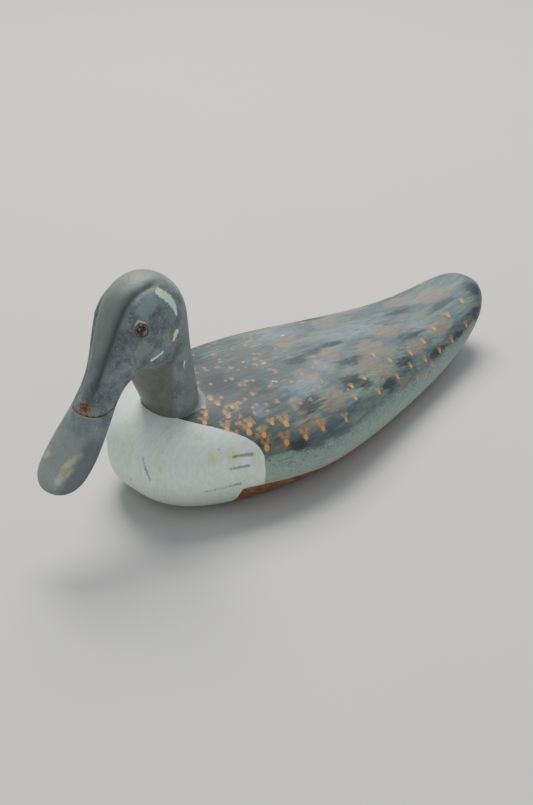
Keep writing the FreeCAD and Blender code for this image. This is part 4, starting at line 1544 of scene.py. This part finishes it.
@dataclass
class EyeSet:
    """Glass eyes: the frame's glass and enamel, in lids modelled from putty."""

    lid_width: float = 0.75
    lid_rise: float = 0.6
    peak: float = 0.7

    def build(self, lid_finish: Finish) -> None:
        """Put a lid round each eye.

        Args:
            lid_finish: The lid's finish.
        """
        for side in ("left", "right"):
            self._lid(side, lid_finish)

    def _lid(self, side: str, finish: Finish) -> None:
        """One lid: a low round carried round the glass, higher and pointed at the top.

        The glass's thinnest direction gives the way that the eye looks.

        Args:
            side: Which eye, left or right.
            finish: The lid's finish.
        """
        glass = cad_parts[f"{side}_eye_glass"]
        corners = np.array([v.co for v in glass.data.vertices]) / MM
        centre = corners.mean(0)
        _, axes = np.linalg.eigh(np.cov((corners - centre).T))
        normal = axes[:, 0] * np.sign(axes[0, 0] * centre[0])
        radius = np.percentile(np.linalg.norm(np.cross(corners - centre, normal), axis=-1), 99)
        up = np.array([0, 0, 1]) - normal * normal[2]
        up /= np.linalg.norm(up)
        along = np.cross(up, normal)
        floor = centre + normal * (np.min((corners - centre) @ normal) + 1.0)
        turn = np.linspace(0, 2 * np.pi, 96, endpoint=False)
        upper = np.exp(-((turn - np.pi / 2) / 0.75) ** 2)
        out = along[None] * np.cos(turn)[:, None] + up[None] * np.sin(turn)[:, None]
        profile = np.linspace(0, 2 * np.pi, 14, endpoint=False)
        wide = self.lid_width * (1 + 0.35 * upper)
        rise = self.lid_rise * (1 + 0.5 * upper)
        middle = radius - 0.15 + wide + self.peak * np.exp(-((turn - 1.75) / 0.3) ** 2)
        reach = middle[:, None] + wide[:, None] * np.cos(profile)
        height = rise[:, None] * np.sin(profile) + 0.1
        points = floor + out[:, None] * reach[..., None] + normal * height[..., None]
        # Painted highlight along the upper crest of the lid.
        crest = np.clip(np.sin(profile), 0, 1) * np.clip(1.2 + np.cos(profile), 0, 1)
        pale = upper[:, None] * crest
        inner = np.clip(-np.cos(profile) * 1.8 - 0.7, 0, 1) + 0 * turn[:, None]
        points = np.concatenate([points, points[:1]], 0)
        layers = {Layer.CHIP_AND_HIGHLIGHT: np.concatenate([pale, pale[:1]], 0),
                  Layer.GROOVE: np.concatenate([inner, inner[:1]], 0)}
        piece = make_piece(f"{side}_eye_lid", points, layers, capped=False)
        dress(piece, "eye_putty", finish)


@dataclass
class Fittings:
    """Metal and wood parts that keep the frame's own shapes."""

    nodes: dict[str, Finish] = field(default_factory=dict)

    def build(self) -> None:
        """Give each frame node its finish."""
        for name, finish in self.nodes.items():
            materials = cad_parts[name].data.materials
            materials.clear()
            materials.append(finish.material)
            LOG.info("%s: %s", name, finish.material.name)


# ---------------------------------------------------------------- studio


@dataclass
class Studio:
    """Floor, soft light and the camera."""

    azimuth: float = 46.38
    elevation: float = 30.89
    distance: float = 0.79683
    roll: float = -1.33
    lens: float = 53.66
    target: Point = (0.01364, -0.0312, 0.040)
    floor_colour: Colour = (206, 204, 200)
    floor_radius: float = 9000
    flat_radius: float = 4000
    sky_colour: tuple[float, float, float, float] = (0.80, 0.88, 1.0, 1.0)
    sky_strength: float = 0.36

    def build(self) -> None:
        """Set up the floor, the lights and the camera."""
        self._floor()
        self._sky()
        self._softbox("key_light", (-0.9, 0.7, 1.9), 1.3, 72)
        self._softbox("front_light", (1.5, -1.3, 1.1), 1.4, 8)
        self._camera()

    def _floor(self) -> None:
        """A wide plain floor, swept up into a very shallow dish towards its rim."""
        radius = np.linspace(0, self.floor_radius, 40)[:, None]
        turn = np.linspace(0, 2 * np.pi, 64, endpoint=False)[None, :]
        rise = 0.00001 * np.clip(radius - self.flat_radius, 0, None) ** 2
        height = rise + 0 * turn - 0.05
        points = np.stack([radius * np.cos(turn), radius * np.sin(turn), height], -1)
        floor = make_piece("floor", points, capped=False)
        plain = Finish("floor_paint", 0.75)
        cloud = plain.mottle((300, 300, 300), 3, 1)
        plain.feed("Base Color", plain.mix(cloud, self.floor_colour, (214, 212, 208)))
        floor.data.materials.append(plain.material)

    def _sky(self) -> None:
        """Even pale surroundings."""
        world = bpy.data.worlds.new("surroundings")
        world.use_nodes = True
        background = next(n for n in world.node_tree.nodes if n.type == "BACKGROUND")
        background.inputs["Color"].default_value = self.sky_colour
        background.inputs["Strength"].default_value = self.sky_strength
        bpy.context.scene.world = world

    def _softbox(self, name: str, place: Point, side: float, power: float) -> None:
        """A square soft light aimed at the decoy.

        Args:
            name: The light's name.
            place: Where it hangs, in metres.
            side: Length of its side, in metres.
            power: Its power in watts.
        """
        light = bpy.data.lights.new(name, "AREA")
        light.size = side
        light.energy = power
        light.color = (1.0, 0.98, 0.95)
        lamp = bpy.data.objects.new(name, light)
        lamp.location = place
        aim = Vector(self.target) - Vector(place)
        lamp.rotation_euler = aim.to_track_quat("-Z", "Y").to_euler()
        bpy.context.scene.collection.objects.link(lamp)

    def _camera(self) -> None:
        """A camera on the front left quarter, looking down, rolled by a degree."""
        turn, lift, roll = (math.radians(a) for a in (self.azimuth, self.elevation, self.roll))
        level = math.cos(lift)
        back = Vector((math.sin(turn) * level, -math.cos(turn) * level, math.sin(lift)))
        right = Vector((math.cos(turn), math.sin(turn), 0))
        up = back.cross(right)
        across = math.cos(roll) * right + math.sin(roll) * up
        upright = math.cos(roll) * up - math.sin(roll) * right
        lens = bpy.data.cameras.new("camera")
        lens.lens = self.lens
        lens.clip_end = 40
        camera = bpy.data.objects.new("camera", lens)
        facing = Matrix((across, upright, back)).transposed().to_quaternion()
        place = Vector(self.target) + back * self.distance
        camera.matrix_world = Matrix.LocRotScale(place, facing, None)
        bpy.context.scene.collection.objects.link(camera)
        bpy.context.scene.camera = camera


def main() -> None:
    """Build the decoy's pieces in order, then the studio."""
    logging.basicConfig(level=logging.INFO, format="%(name)s: %(message)s")
    body_paint, head_paint, filler = BodyPaint(), HeadPaint(), JointFiller()
    zinc, brass = MetalFinish("zinc_steel", Metal.ZINC), MetalFinish("screw_brass", Metal.BRASS)
    tie, lead = MetalFinish("tie_brass", Metal.BRASS), MetalFinish("ballast_lead", Metal.LEAD)
    dowel = DowelWood()
    iris = EyeFinish("iris_enamel", (190, 104, 24), (240, 168, 70))
    pupil = EyeFinish("pupil_enamel", (8, 8, 10), (16, 16, 20))
    putty, glass = EyeRim(), EyeGlass()
    head = Head()
    Hull().build(body_paint)
    head.build(head_paint)
    Bill().build(head, head_paint)
    JointBead().build(head, filler)
    NeckFillet().build(head, head_paint)
    EyeSet().build(putty)
    Fittings({
        "bottom_board": BoardWood(), "bill_dowel": dowel, "neck_dowel": dowel,
        "neck_lag_screw": zinc, "neck_washer": zinc, "ballast_weight": lead,
        "ballast_screws": brass, "board_screws": brass, "line_tie_staple": tie,
        "line_tie_ring": tie, "left_eye_glass": glass, "right_eye_glass": glass,
        "left_eye_iris": iris, "right_eye_iris": iris, "left_eye_pupil": pupil,
        "right_eye_pupil": pupil, "left_eye_putty": putty, "right_eye_putty": putty,
    }).build()
    Studio().build()


if __name__ == "__main__":
    main()
